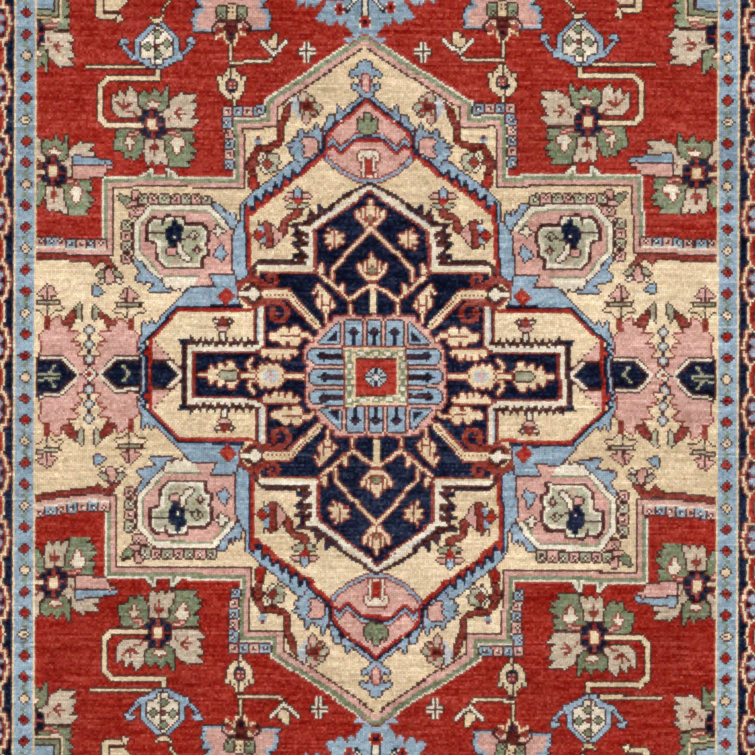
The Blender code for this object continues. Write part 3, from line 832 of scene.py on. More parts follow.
def arm_and_side_palmettes():
    shape("ivory", [(50.9, 22.2), (50.9, 19.6), (49.4, 18.2), (46, 18.4), (45.2, 16), (42.8, 16.2),
                    (42.4, 18.6), (41.2, 18.4), (40.4, 15.8), (36.6, 16.4), (35.8, 19.4), (35.8, 21.6),
                    (36.8, 24.6), (40.4, 24.6), (41.6, 21.8), (42.6, 24.6), (45, 24.6), (46, 22.6)],
          "brick")
    line("brick", [(45.2, 20.9), (36, 20.9)], 1)
    line("ivory", [(35.6, 21), (32.6, 21), (30.4, 18.8)], 1.1, "brick")
    shape("ivory", [(36.6, 12.2), (38, 13.6), (54.6, 13.6), (54.8, 11), (53.6, 10.4), (51.8, 12.2),
                    (49.8, 8.8), (48.4, 8.8), (48, 12), (46.2, 8.8), (44.8, 8.8), (44.6, 12), (42.4, 8.8),
                    (40.8, 8.8), (41, 11.8), (38, 11.2)], "brick")
    shape("ivory", [(44.4, -1), (44.9, 2.8), (46.3, 5.1), (48.6, 7.2), (49.4, 6.2), (50.4, 5.9), (52, 7.9),
                    (53.4, 6.2), (54.6, 5.8), (56, 7), (56.8, 5), (58.5, 3.6), (61, 2.6), (61, -1)], "brick")
    shape("mist", [(55.4, -1), (55, 2.4), (53, 3.8), (49.6, 3.8), (47.6, 2), (47.2, -1)])
    spot("pink", 51.3, 0.8, 2.2)
    line("ivory", [(59.3, 9.4), (60.8, 7.4), (62.3, 5.5), (60.6, 3.4), (59, 2.4)], 1.5, "brick")
    line("ivory", [(67, 1.6), (60, 1.6)], 1.1, "brick")
    line("ivory", [(44.4, 1.2), (34.8, 1.2)], 1.2, "brick")
    shape("ivory", [(88, 0.6), (86, 2), (81.8, 2.4), (81.2, 6.4), (79.4, 5.4), (77.6, 3.2), (76.8, 7.4),
                    (74.8, 6.2), (73.2, 4.4), (71.8, 8), (69.6, 8.4), (68.6, 5), (66.6, 3), (66.4, -1),
                    (88, -1)], "brick")
    shape("pale", [(77.4, 1.5), (75.6, 3.4), (68.8, 3.4), (67.6, 1.5), (67.6, -1), (77, -1)], "brown")


medallion_ground()
medallion_side()
jewel_and_scrolls()
flame_palmette(73.4)
branches()
flame_palmette(47.6)
lantern()
arm_and_side_palmettes()


# --- cartoon: the centre --------------------------------------------------------------------------
# A scalloped pink octagon with twelve light blue niches round a square: a chained ivory border, a
# madder red field and one small rosette at the rug's very middle.
def niches():
    shape("pink", [(-1, 30.6), (0, 30.6), (3.2, 30.2), (4.8, 28), (6.4, 30.2), (10, 30.6), (14.4, 30),
                   (19.7, 29.8), (19.8, 27.2), (23, 27), (23.2, 24.8), (26.5, 24), (27.6, 20.6), (29.2, 20),
                   (29.4, 17.4), (32.2, 16.5), (33.2, 14.2), (34.5, 12), (34.5, 8.6), (32.8, 6),
                   (34.5, 3.4), (34.5, -1), (-1, -1)], "brick")
    for u, wide in ((0, 3.4), (10, 4.4)):
        shape("sky", [(u + wide, 15.6), (u + wide, 26.8), (u + wide - 1.4, 28.2), (u - wide + 1.4, 28.2),
                      (u - wide, 26.8), (u - wide, 15.6)], "brown")
        shape("navy", [(u + 1.3, 15.6), (u + 1.3, 20.4), (u + 2.7, 22.4), (u + 1.4, 24.2), (u, 26),
                       (u - 1.4, 24.2), (u - 2.7, 22.4), (u - 1.3, 20.4), (u - 1.3, 15.6)])
        box("brown", u, 22.6, 2, 2)
        line("brown", [(u, 20), (u, 15.6)], 0.9)
    for v, tall in ((0.5, 3.7), (10.8, 3.4)):
        shape("sky", [(16, v + tall), (30, v + tall), (31.8, v + tall - 2), (31.8, v - tall + 2),
                      (30, v - tall), (16, v - tall)], "brown")
        shape("navy", [(16, v + 1.3), (23, v + 1.3), (25.2, v + 2.7), (27, v + 1.4), (28.6, v), (27, v - 1.4),
                       (25.2, v - 2.7), (23, v - 1.3), (16, v - 1.3)])
        box("brown", 25.2, v, 2, 2)
        line("brown", [(23, v), (16, v)], 0.9)
    shape("sky", [(17.2, 27.8), (17.2, 17), (27.6, 17)], "brown")
    shape("navy", [(18.5, 23.2), (18.5, 18.2), (23.8, 18.2)])
    box("brown", 19.8, 19.6, 1.4, 1.4)


def middle_square():
    box("brick", 0, 0, 32.6, 31.4)
    box("ivory", 0, 0, 30.8, 29.4)
    for u, v in ((0, 12.2), (6.5, 12.2), (13, 12.2), (13, 6.1), (13, 0.4)):
        shape("sage", [(u + 2.4, v), (u + 1.4, v + 1.8), (u - 1.4, v + 1.8), (u - 2.4, v), (u - 1.4, v - 1.8),
                       (u + 1.4, v - 1.8)])
        box("white", u, v, 2.2, 1.6)
    for u, v in ((3.2, 12.2), (9.8, 12.2), (13, 9.1), (13, 3.2)):
        spot("sage", u, v, 1.3)
    box("brown", 0, 0, 20.8, 19.2)
    box("rose", 0, 0, 19.6, 17.8)
    shape("mist", [(-1, 1), (0.6, 4.7), (2.2, 4.7), (2.7, 2.9), (4.6, 2.4), (4.6, 0.6), (1, -1)], "brown")
    line("navy", [(0.2, 4.6), (0.2, 2)], 1)
    line("navy", [(4.4, 0.2), (2, 0.2)], 1)
    line("navy", [(1.6, 1.6), (3, 3)], 0.8)
    spot("white", 0, 0, 1.6)


niches()
middle_square()


# --- cartoon: the corners and ends of the field ---------------------------------------------------
# Past the bracket the field repeats its large palmettes, and each corner is cut off by light blue
# steps with a cream hem, as the corners of such a rug are.
def copied(low, left, tall, wide, to_low, to_left, turned=False):
    """Ties a motif again elsewhere on the red ground, turned over end for end if asked."""
    motif = quarter[low:low + tall, left:left + wide].copy()
    if turned:
        motif = motif[::-1]
    there = quarter[to_low:to_low + tall, to_left:min(to_left + wide, FIELD_WIDE)]
    motif = motif[:there.shape[0], :there.shape[1]]
    there[motif != yarn_names.index("red")] = motif[motif != yarn_names.index("red")]


def corner_steps():
    outline = [(166, 175), (152, 175), (152, 190), (138, 190), (138, 205), (120, 205), (120, 220), (102, 220),
               (102, 235), (84, 235), (84, 251), (166, 251)]
    bands([(u + 6 * (u == FIELD_WIDE), v + 6 * (v == FIELD_LONG)) for u, v in outline],
          [("ivory", 1.2), ("brown", 1.1), ("sage", 1.8), ("brown", 1), ("sky", 99)])
    for u, v in ((157, 198), (146, 214), (127, 229), (109, 242), (148, 240)):
        both(line, "brown", u, [(u, v), (u + 6, v + 4)], 1.2)
        both(shape, "ivory", u, [(u + 5, v + 6), (u + 8.4, v + 5.6), (u + 6.6, v + 2.2)], "brown")
        spot("red", u, v, 4, "brown")
        spot("ivory", u, v, 1.7)


def end_palmette():
    """The pendant's body over its leafy tip, with a rosette at the field's end."""
    shape("ivory", [(128.6, 180.6), (128.6, 192), (124.5, 197.5), (121, 194), (118, 189.5), (118, 186),
                    (120.6, 183), (122.3, 180.6)], "brown")
    line("ivory", [(131.5, 188), (131.5, 195), (128.6, 200), (124, 203.5), (119, 203.5)], 1.6, "brown")
    shape("sky", [(-1, 186), (19, 186), (21.6, 192), (18.4, 195), (22, 199), (17.6, 201.6), (19.8, 207),
                  (13.6, 208.4), (13, 214), (7.6, 213), (4, 219), (-1, 221)], "brick")
    shape("pink", [(-1, 188), (12, 188), (14.6, 194), (12, 199), (13, 204), (8, 206.6), (5, 211),
                   (-1, 213)], "brown")
    shape("ivory", [(-1, 191), (6.6, 191), (8.4, 196), (5.4, 201), (2, 204), (-1, 205)], "brown")
    spot("red", 0, 197, 4, "brown")
    spot("navy", 0, 197, 1.6)
    line("ivory", [(0, 221), (0, 229)], 1.2, "brown")
    both(line, "sage", 0, [(0, 226), (12, 232), (20, 229)], 2, "brown")
    for size, yarn in ((10.5, "brown"), (9.5, "ivory"), (6.5, "brown"), (5.5, "pink"), (2.6, "navy")):
        spot(yarn, 0, 240, size)


copied(104, 83, 41, 45, 80, 134)
copied(106, 82, 38, 46, 148, 144, True)
copied(163, 44, 38, 40, 209, 30, True)
copied(152, 22, 14, 13, 192, 25)
copied(104, 83, 41, 42, 190, 58, True)
edge_leaf()
corner_steps()
end_palmette()


# --- cartoon: the borders -------------------------------------------------------------------------
# A navy main border, where palmettes stand on an ivory vine, runs between two narrow guards: light
# blue with small flowers inside, pink with a barber's-pole hatch outside. A plain madder edge ends it.
REPEAT = 31.4


def bordered(draw, yarn, points, *rest):
    """Draws on both sides of the quarter's border, from points (along, across) at one repeat."""
    for length, side in ((FIELD_LONG, 0), (FIELD_WIDE, 1)):
        repeats = round(length / REPEAT)
        for i in range(repeats + 1):
            step = length / repeats
            placed = [(i * step + a * step / REPEAT, c + (FIELD_WIDE, FIELD_LONG)[side]) for a, c in points]
            draw(yarn, placed if side else [(c, a) for a, c in placed], *rest)


for start, ground in ((0, "sky"), (GUARD, "navy"), (GUARD + MAIN, "pink"), (GUARD + MAIN + OUTER, "deep")):
    outward = np.maximum(across - FIELD_WIDE, along - FIELD_LONG)
    quarter[outward >= start] = yarn_names.index(ground)
    rim_yarn = "brown" if ground == "deep" else "ivory"
    quarter[(outward >= start) & (outward < start + 1)] = yarn_names.index(rim_yarn)

for a in (-10.5, 0, 10.5):
    yarn = "red" if a else "ivory"
    bordered(shape, yarn, [(a - 2.2, 5.2), (a, 7.6), (a + 2.2, 5.2), (a, 2.8)], "brown")
    bordered(shape, "navy", [(a - 0.6, 5.2), (a, 6), (a + 0.6, 5.2), (a, 4.4)])
for a in (-5.2, 5.2):
    bordered(line, "sage", [(a - 2.4, 3.4), (a, 6.4), (a + 2.4, 3.4)], 1.1)

bordered(line, "ivory", [(-15.7, 13), (-8, 15), (0, 35), (8, 15), (15.7, 13)], 1.3, "brick")
palmette_half = [(0, 15.5), (6.4, 17), (9.6, 21), (7.4, 23.4), (10.4, 27.4), (6.4, 29.6), (6, 33),
                 (2.6, 32.6), (0, 36.6)]
whole = palmette_half + [(-a, c) for a, c in palmette_half[::-1]]
bordered(shape, "red", whole, "ivory")
bordered(shape, "pink", [(a * 0.62, 25 + (c - 25) * 0.66) for a, c in whole], "brown")
bordered(shape, "ivory", [(a * 0.34, 24 + (c - 25) * 0.36) for a, c in whole], "brown")
for side in (-1, 1):
    bordered(shape, "sage", [(side * 12.4, 34.5), (side * 15.2, 30), (side * 12.6, 25.4),
                             (side * 10.4, 29.6)], "ivory")
    bordered(shape, "sky", [(side * 13, 21.4), (side * 15.4, 18.4), (side * 13, 15.4), (side * 10.8, 18.2)],
             "brick")

# The hatch runs on round the corner, at 45 degrees to the edge.
outward = np.maximum(across - FIELD_WIDE, along - FIELD_LONG) - GUARD - MAIN
round_edge = np.where(across - FIELD_WIDE > along - FIELD_LONG, along, across)
hatch = (outward > 2) & (outward < OUTER - 1) & ((round_edge + outward) % 6 < 2.6)
quarter[hatch] = yarn_names.index("brick")

box("navy", FIELD_WIDE + GUARD + MAIN / 2 + 0.5, FIELD_LONG + GUARD + MAIN / 2 + 0.5, MAIN - 1, MAIN - 1)
for size, yarn in ((13, "ivory"), (11.8, "red"), (7.8, "brown"), (6.8, "pink"), (3.4, "navy"),
                   (1.8, "ivory")):
    spot(yarn, FIELD_WIDE + GUARD + MAIN / 2, FIELD_LONG + GUARD + MAIN / 2, size)


# --- the whole chart ------------------------------------------------------------------------------
# The knotter ties the four quarters from one drawing and slips now and then: the north half leans
# to the west, and the south half starts a few rows early. Both are made good before the border.
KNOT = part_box("foundation")[1].x / HALF_WIDE
LEAN = ((-60, 0.5), (0, 0), (167, -5.65), (FIELD_LONG, -5.65))
EARLY_ACROSS = ((20, 0.8), (40, 2), (85, 2.5), (120, 3.6))
EARLY_ALONG = ((40, 3), (58, 3), (88, 0.6), (112, -0.6), (160, -1.6))

u, v = np.meshgrid(np.arange(-HALF_WIDE, HALF_WIDE) + 0.5, np.arange(-HALF_LONG, HALF_LONG) + 0.5)
in_field = np.clip((FIELD_WIDE - abs(u)) / 26, 0, 1) * np.clip((FIELD_LONG - abs(v)) / 40, 0, 1)
lean = np.interp(v, *zip(*LEAN)) * (1.12 - 0.003 * abs(u)) * in_field
outer_part = np.clip(abs(v) / 40, 0, 1)
early = (np.interp(abs(u), *zip(*EARLY_ACROSS)) * (1 - outer_part)
         + np.interp(abs(v), *zip(*EARLY_ALONG)) * outer_part) * in_field
slip_u = (0.3 * np.sin(v / 11 - u / 31 + 2) - 0.002 * np.maximum(u, 0) - 0.002 * (v < 0) * abs(u)) * in_field
slip_v = (0.3 * np.sin(u / 17 + v / 23 + 1) - 0.00007 * u * abs(v)) * in_field
quarter_u = abs(u - lean) + slip_u
quarter_v = np.where(v > early / 2, v, early - v) + slip_v
chart = quarter[np.clip(quarter_v, 0, HALF_LONG - 1).astype(int),
                np.clip(quarter_u, 0, HALF_WIDE - 1).astype(int)]

# Dye lots differ from skein to skein, each row is beaten down and clipped a little differently, and
# each knot catches the light its own way. These are sizes as the eye sees them, from 0 to 1.
rng = np.random.default_rng(7)
DYE_LOT, ROW, STREAK, KNOT_SHADE, KNOT_TINT = 0.026, 0.010, 0.026, 0.046, 0.014
EYE_GAMMA = 2.2
rows, columns = 2 * HALF_LONG, 2 * HALF_WIDE
lots = np.array([np.interp(np.arange(rows), np.arange(0, rows + 38, 38),
                           rng.normal(0, DYE_LOT, rows // 38 + 2)) for _ in yarn_names])
shade = (lots[chart, np.arange(rows)[:, None]] + rng.normal(0, ROW, rows)[:, None]
         + rng.normal(0, KNOT_SHADE, chart.shape))
for run in (24, 7):
    streak = rng.normal(0, STREAK, (rows, columns + run))
    shade += sum(streak[:, i:i + columns] for i in range(run)) / run ** 0.5
knot_colour = np.array([linear(code) for code in YARNS.values()])[chart] ** (1 / EYE_GAMMA)
tinted = knot_colour + shade[..., None] + rng.normal(0, KNOT_TINT, (*chart.shape, 3))
knot_colour = np.clip(tinted, 0.01, 1) ** EYE_GAMMA
padded_colour = np.pad(knot_colour, ((1, 1), (1, 1), (0, 0)), "edge")
crossing_colour = (padded_colour[1:, 1:] + padded_colour[:-1, 1:] + padded_colour[1:, :-1]
                   + padded_colour[:-1, :-1]) / 4


# --- foundation cloth -----------------------------------------------------------------------------
# Cotton warps and wefts packed hard round the knots, 3.2 mm thick. The top is hidden by the pile; the
# underside shows each knot's loops in its own colour, ribbed along the warps, with wefts between rows.
BACK_SHADE = 0.85

# Knotted cotton and wool back: matt, ribbed, darker than the pile because cotton shows between loops.
knotted_back, tree, out = new_material("knotted_cotton_back")
yarn = add_node(tree, "ShaderNodeAttribute", {"attribute_name": "yarn_colour"})
place = add_node(tree, "ShaderNodeTexCoord").outputs["Object"]
# Wefts lie 3.45 mm apart; each knot's two loops are 1.7 mm wide.
weft_rows = add_node(tree, "ShaderNodeTexWave", {"bands_direction": "Y", "Scale": math.pi / KNOT / 10,
                                                 "Distortion": 0.6, "Detail": 1}, {"Vector": place})
loop_ribs = add_node(tree, "ShaderNodeTexWave", {"bands_direction": "X", "Scale": math.pi / KNOT / 5,
                                                 "Distortion": 0.4, "Detail": 1}, {"Vector": place})
woven = add_node(tree, "ShaderNodeMath", {"operation": "MULTIPLY"},
                 {0: weft_rows.outputs["Fac"], 1: loop_ribs.outputs["Fac"]})
cotton_share = add_node(tree, "ShaderNodeMapRange", {"From Min": 0.05, "From Max": 0.35, "To Min": 0.35,
                                                     "To Max": 0}, {"Value": woven.outputs[0]})
back_colour = add_node(tree, "ShaderNodeMixRGB", {"Color2": (*linear("#b8ad9c"), 1)},
                       {"Fac": cotton_share.outputs[0], "Color1": yarn.outputs["Color"]})
back_bump = add_node(tree, "ShaderNodeBump", {"Strength": 0.7, "Distance": 0.0008},
                     {"Height": woven.outputs[0]})
back = add_node(tree, "ShaderNodeBsdfPrincipled", {"Roughness": 0.92, "Specular IOR Level": 0.15},
                {"Base Color": back_colour.outputs[0], "Normal": back_bump.outputs[0]})
tree.links.new(back.outputs[0], out.inputs["Surface"])


def corner_numbers(mesh):
    """Each corner's place, and its face's middle and direction."""
    spots, corner = np.empty(len(mesh.vertices) * 3), np.empty(len(mesh.loops), int)
    mesh.vertices.foreach_get("co", spots)
    mesh.loops.foreach_get("vertex_index", corner)
    middles, normals = np.empty(len(mesh.polygons) * 3), np.empty(len(mesh.polygons) * 3)
    mesh.polygons.foreach_get("center", middles)
    mesh.polygons.foreach_get("normal", normals)
    sizes = np.empty(len(mesh.polygons), int)
    mesh.polygons.foreach_get("loop_total", sizes)
    return (spots.reshape(-1, 3)[corner], np.repeat(middles.reshape(-1, 3), sizes, axis=0),
            np.repeat(normals.reshape(-1, 3), sizes, axis=0))


def knot_at(spots):
    """The row and column of the chart under each spot."""
    row = np.clip(np.floor(spots[:, 1] / KNOT + HALF_LONG).astype(int), 0, rows - 1)
    return row, np.clip(np.floor(spots[:, 0] / KNOT + HALF_WIDE).astype(int), 0, columns - 1)


def lay_out(mesh, spots, normals, main):
    """Gives the mesh its map. The main face fills it down to a strip for the sides and the other face."""
    lowest, widest = spots.min(0), np.ptp(spots, axis=0)
    share = (spots - lowest) / widest
    flat = np.stack([0.004 + 0.992 * share[:, 0], 0.04 + 0.956 * share[:, 1]], 1)
    strip = np.stack([0.004 + 0.496 * (share[:, 0] + share[:, 1]), 0.014 + 0.016 * share[:, 2]], 1)
    other = np.stack([0.004 + 0.992 * share[:, 0], 0.002 + 0.006 * share[:, 1]], 1)
    facing = main * normals[:, 2:]
    mesh.uv_layers.new(name="OFBake").uv.foreach_set(
        "vector", np.where(facing > 0.5, flat, np.where(facing < -0.5, other, strip)).ravel())


def store_colour(mesh, colours):
    """Stores a colour for each corner."""
    layer = mesh.color_attributes.new(name="yarn_colour", type="FLOAT_COLOR", domain="CORNER")
    layer.data.foreach_set("color", np.column_stack([colours, np.ones(len(colours))]).ravel())


def finish_piece(name, form, material, node):
    """Makes the piece's object from its finished form, riding on the rug and standing for its CAD node."""
    mesh = bpy.data.meshes.new(name)
    form.to_mesh(mesh)
    form.free()
    mesh.materials.append(material)
    piece = bpy.data.objects.new(name, mesh)
    bpy.context.scene.collection.objects.link(piece)
    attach(piece, "root")
    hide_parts(node)
    return piece


cloth_low, cloth_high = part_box("foundation")
cloth = bmesh.new()
bmesh.ops.create_grid(cloth, x_segments=HALF_WIDE, y_segments=HALF_LONG, size=0.5,
                      matrix=Matrix.Translation((0, 0, cloth_low.z))
                      @ Matrix.Diagonal((cloth_high.x - cloth_low.x, cloth_high.y - cloth_low.y, 1, 1)))
bmesh.ops.reverse_faces(cloth, faces=cloth.faces)
sides = bmesh.ops.extrude_edge_only(cloth, edges=[edge for edge in cloth.edges if edge.is_boundary])["geom"]
for part in sides:
    if isinstance(part, bmesh.types.BMVert):
        part.co.z = cloth_high.z
bmesh.ops.holes_fill(cloth, edges=[edge for edge in cloth.edges if edge.is_boundary], sides=0)
foundation = finish_piece("foundation_cloth", cloth, knotted_back, "foundation")
spots, middles, normals = corner_numbers(foundation.data)
store_colour(foundation.data, BACK_SHADE * knot_colour[knot_at(spots + 0.25 * (middles - spots))])
lay_out(foundation.data, spots, normals, -1)


# --- pile -----------------------------------------------------------------------------------------
# Two-ply wool yarn, each knot tied round a pair of warps and clipped 7.5 mm above the cloth. The pile
# is one piece for each area of the design, as the maker's drawing divides it, one face to a knot.
TUFT_STRAY = 0.0045
TUFT_TURN = math.pi / KNOT

# Clipped wool pile: no gloss, a soft sheen off the fibre ends, each tuft a small dome, with painted shade in
# the gaps between tufts and a painted highlight on their tops.
clipped_wool, tree, out = new_material("clipped_wool_pile")
yarn = add_node(tree, "ShaderNodeAttribute", {"attribute_name": "yarn_colour"})
place = add_node(tree, "ShaderNodeTexCoord").outputs["Object"]
# Fibre ends are 0.03 mm across; they are drawn in clumps of about 0.8 mm so that they show.
fibre = add_node(tree, "ShaderNodeTexNoise", {"Scale": 1 / 0.0016, "Detail": 4, "Roughness": 0.7},
                 {"Vector": place})
# Pile that leans this way or that catches the light differently; that is painted into the colour as paler and
# darker patches, a hand's breadth across.
lean_patches = add_node(tree, "ShaderNodeTexNoise", {"Scale": 1 / 0.11, "Detail": 4}, {"Vector": place})
fibre_shade = add_node(tree, "ShaderNodeMapRange", {"From Min": 0.3, "From Max": 0.7, "To Min": 0.72,
                       "To Max": 1.3}, {"Value": fibre.outputs["Fac"]})
# Painted light: paler and darker patches where the pile leans, scaling the colour from 0.9 to 1.1.
painted_lean_shade = add_node(tree, "ShaderNodeMapRange", {"From Min": 0.3, "From Max": 0.7, "To Min": 0.9,
                      "To Max": 1.1}, {"Value": lean_patches.outputs["Fac"]})
# One tuft to a knot, 3.45 mm apart both ways, domed and straying up to 2 mm from its place.
stray = add_node(tree, "ShaderNodeTexNoise", {"Scale": 1 / 0.007, "Detail": 2}, {"Vector": place})
strayed = add_node(tree, "ShaderNodeVectorMath", {"operation": "MULTIPLY_ADD",
                                                  1: (TUFT_STRAY, TUFT_STRAY, 0)},
                   {0: stray.outputs["Color"], 2: place})
cell = add_node(tree, "ShaderNodeVectorMath", {"operation": "MULTIPLY_ADD", 1: (TUFT_TURN, TUFT_TURN, 0),
                2: (-TUFT_STRAY / 2 * TUFT_TURN, -TUFT_STRAY / 2 * TUFT_TURN, 0)}, {0: strayed.outputs[0]})
split = add_node(tree, "ShaderNodeSeparateXYZ", (), {0: cell.outputs[0]})
waves = [add_node(tree, "ShaderNodeMath", {"operation": "SINE"}, {0: split.outputs[i]}) for i in (0, 1)]
domes = [add_node(tree, "ShaderNodeMath", {"operation": "ABSOLUTE"}, {0: wave.outputs[0]}) for wave in waves]
dome = add_node(tree, "ShaderNodeMath", {"operation": "MULTIPLY"}, {0: domes[0].outputs[0],
                                                                    1: domes[1].outputs[0]})
# Painted shade in the gaps between tufts and a painted highlight on their tops: the colour is scaled from
# 0.92 at the gaps to 1.13 at each dome's top.
painted_gap_shade_and_highlight = add_node(tree, "ShaderNodeMapRange", {"To Min": 0.92, "To Max": 1.13}, {"Value": dome.outputs[0]})
# Fibre grain times the painted patches of leaning pile.
fibre_and_painted_lean_shade = add_node(tree, "ShaderNodeMath", {"operation": "MULTIPLY"},
                      {0: fibre_shade.outputs[0], 1: painted_lean_shade.outputs[0]})
# Fibre grain, painted lean patches and painted gap shade together scale the yarn's colour.
together = add_node(tree, "ShaderNodeMath", {"operation": "MULTIPLY"},
                    {0: fibre_and_painted_lean_shade.outputs[0], 1: painted_gap_shade_and_highlight.outputs[0]})
colour = add_node(tree, "ShaderNodeVectorMath", {"operation": "SCALE"},
                  {0: yarn.outputs["Color"], "Scale": together.outputs[0]})
relief = add_node(tree, "ShaderNodeMath", {"operation": "MULTIPLY_ADD", 1: 0.6},
                  {0: dome.outputs[0], 2: fibre.outputs["Fac"]})
bump = add_node(tree, "ShaderNodeBump", {"Strength": 0.6, "Distance": 0.0012}, {"Height": relief.outputs[0]})
wool = add_node(tree, "ShaderNodeBsdfPrincipled", {"Roughness": 0.95, "Specular IOR Level": 0.06,
                "Sheen Weight": 0.03, "Sheen Roughness": 0.6},
                {"Base Color": colour.outputs[0], "Normal": bump.outputs[0]})
tree.links.new(wool.outputs[0], out.inputs["Surface"])

# Each knot belongs to the area of the maker's drawing that lies under its middle.
pile_nodes = sorted(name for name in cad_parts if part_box(name)[1].z > pile_top - 0.0001)
corners, sides, owner = [], [], []
for name in pile_nodes:
    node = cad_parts[name].data
    first = len(corners)
    corners += [vertex.co.copy() for vertex in node.vertices]
    sides += [[first + i for i in face.vertices] for face in node.polygons]
    owner += [name] * len(node.polygons)
drawing = BVHTree.FromPolygons(corners, sides)
area_of = np.empty(chart.shape, object)
for row in range(rows):
    for column in range(columns):
        middle = Vector(((column + 0.5 - HALF_WIDE) * KNOT, (row + 0.5 - HALF_LONG) * KNOT, pile_top))
        area_of[row, column] = owner[drawing.find_nearest(middle)[2]]

# Tufts wander from their squares and are clipped to slightly different heights, lower along the rim.
WANDER, MOST_WANDER, CLIPPING = 0.13 * KNOT, 0.3 * KNOT, 0.00025
RIM_CUTS = [0.0013, 0.0003, 0]
pile_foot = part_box("pile_centre_octagon")[0].z
rim = np.minimum(np.minimum.outer(np.arange(rows + 1), np.arange(columns + 1)),
                 np.minimum.outer(np.arange(rows + 1)[::-1], np.arange(columns + 1)[::-1]))
uneven = rng.normal(0, 1, (rows + 1, columns + 1, 3)) * (WANDER, WANDER, CLIPPING)
uneven = np.clip(uneven, -MOST_WANDER, MOST_WANDER) * (rim > 0)[..., None]
uneven[..., 2] -= np.choose(np.minimum(rim, 2), RIM_CUTS)

OWN_SHARE = 0.72  # of a tuft's colour; the rest is mixed with its neighbours' where they meet
for name in pile_nodes:
    mine = area_of == name
    at_row, at_column = np.nonzero(mine)
    low, high = at_row.min(), at_row.max() + 1
    left, right = at_column.min(), at_column.max() + 1
    centre = Vector((((left + right) / 2 - HALF_WIDE) * KNOT, ((low + high) / 2 - HALF_LONG) * KNOT,
                     pile_top))
    stretch = Matrix.Diagonal(((right - left) * KNOT, (high - low) * KNOT, 1, 1))
    tufts = bmesh.new()
    bmesh.ops.create_grid(tufts, x_segments=int(right - left), y_segments=int(high - low), size=0.5,
                          matrix=Matrix.Translation(centre) @ stretch)
    spare = []
    for face in tufts.faces:
        face.smooth = True
        x, y, _ = face.calc_center_median()
        if not mine[int(y / KNOT + HALF_LONG), int(x / KNOT + HALF_WIDE)]:
            spare.append(face)
    bmesh.ops.delete(tufts, geom=spare, context="FACES")
    for vertex in tufts.verts:
        x, y, _ = vertex.co
        vertex.co += Vector(uneven[round(y / KNOT + HALF_LONG), round(x / KNOT + HALF_WIDE)])
    cut = [edge for edge in tufts.edges if edge.is_boundary]
    for edge in cut:
        edge.smooth = False
    skirt = bmesh.ops.extrude_edge_only(tufts, edges=cut)["geom"]
    for vertex in skirt:
        if isinstance(vertex, bmesh.types.BMVert):
            vertex.co.z = pile_foot
    for face in skirt:
        if isinstance(face, bmesh.types.BMFace):
            face.smooth = False
    bmesh.ops.holes_fill(tufts, edges=[edge for edge in tufts.edges if edge.is_boundary], sides=0)
    tufted = finish_piece(name + "_tufts", tufts, clipped_wool,
                          name)
    spots, middles, normals = corner_numbers(tufted.data)
    shared = crossing_colour[np.round(spots[:, 1] / KNOT + HALF_LONG).astype(int),
                             np.round(spots[:, 0] / KNOT + HALF_WIDE).astype(int)]
    store_colour(tufted.data, OWN_SHARE * knot_colour[knot_at(middles)] + (1 - OWN_SHARE) * shared)
    lay_out(tufted.data, spots, normals, 1)


# --- selvedges ------------------------------------------------------------------------------------
# Each long edge is a bundle of warps 9 mm thick, overcast with madder wool by hand: the wraps lie side
# by side, a little slanted, one to each row of knots.

# Overcast two-ply wool: matt, softly ribbed, darker in the troughs between wraps as painted shade, and
# varying from skein to skein.
overcast_wool, tree, out = new_material("overcast_madder_wool")
place = add_node(tree, "ShaderNodeTexCoord").outputs["Object"]
wrap = add_node(tree, "ShaderNodeTexWave", {"bands_direction": "Y", "Scale": math.pi / KNOT / 10,
                "Distortion": 1.2, "Detail": 2, "Detail Scale": 1.5}, {"Vector": place})
long_way = add_node(tree, "ShaderNodeMapping", {"Scale": (60, 300, 60)}, {"Vector": place})
skein = add_node(tree, "ShaderNodeTexNoise", {"Scale": 1, "Detail": 3}, {"Vector": long_way.outputs[0]})
fibre = add_node(tree, "ShaderNodeTexNoise", {"Scale": 900, "Detail": 2}, {"Vector": place})
# Painted shade: the wave that raises the wraps also darkens the colour in the troughs between them; the skein
# noise is the dyed wool's own variation.
painted_wrap_shade_and_skein = add_node(tree, "ShaderNodeMath", {"operation": "MULTIPLY_ADD", 1: 0.4},
                      {0: wrap.outputs["Fac"], 2: skein.outputs["Fac"]})
ramp = add_node(tree, "ShaderNodeMapRange", {"From Min": 0.35, "From Max": 0.95},
                {"Value": painted_wrap_shade_and_skein.outputs[0]})
colour = add_node(tree, "ShaderNodeMixRGB", {"Color1": (*linear("#6a231c"), 1),
                                             "Color2": (*linear("#9a3a2e"), 1)}, {"Fac": ramp.outputs[0]})
relief = add_node(tree, "ShaderNodeMath", {"operation": "MULTIPLY_ADD", 1: 0.3},
                  {0: fibre.outputs["Fac"], 2: wrap.outputs["Fac"]})
bump = add_node(tree, "ShaderNodeBump", {"Strength": 0.6, "Distance": 0.0006}, {"Height": relief.outputs[0]})
wool = add_node(tree, "ShaderNodeBsdfPrincipled", {"Roughness": 0.9, "Specular IOR Level": 0.15,
                "Sheen Weight": 0.08, "Sheen Roughness": 0.6},
                {"Base Color": colour.outputs[0], "Normal": bump.outputs[0]})
tree.links.new(wool.outputs[0], out.inputs["Surface"])


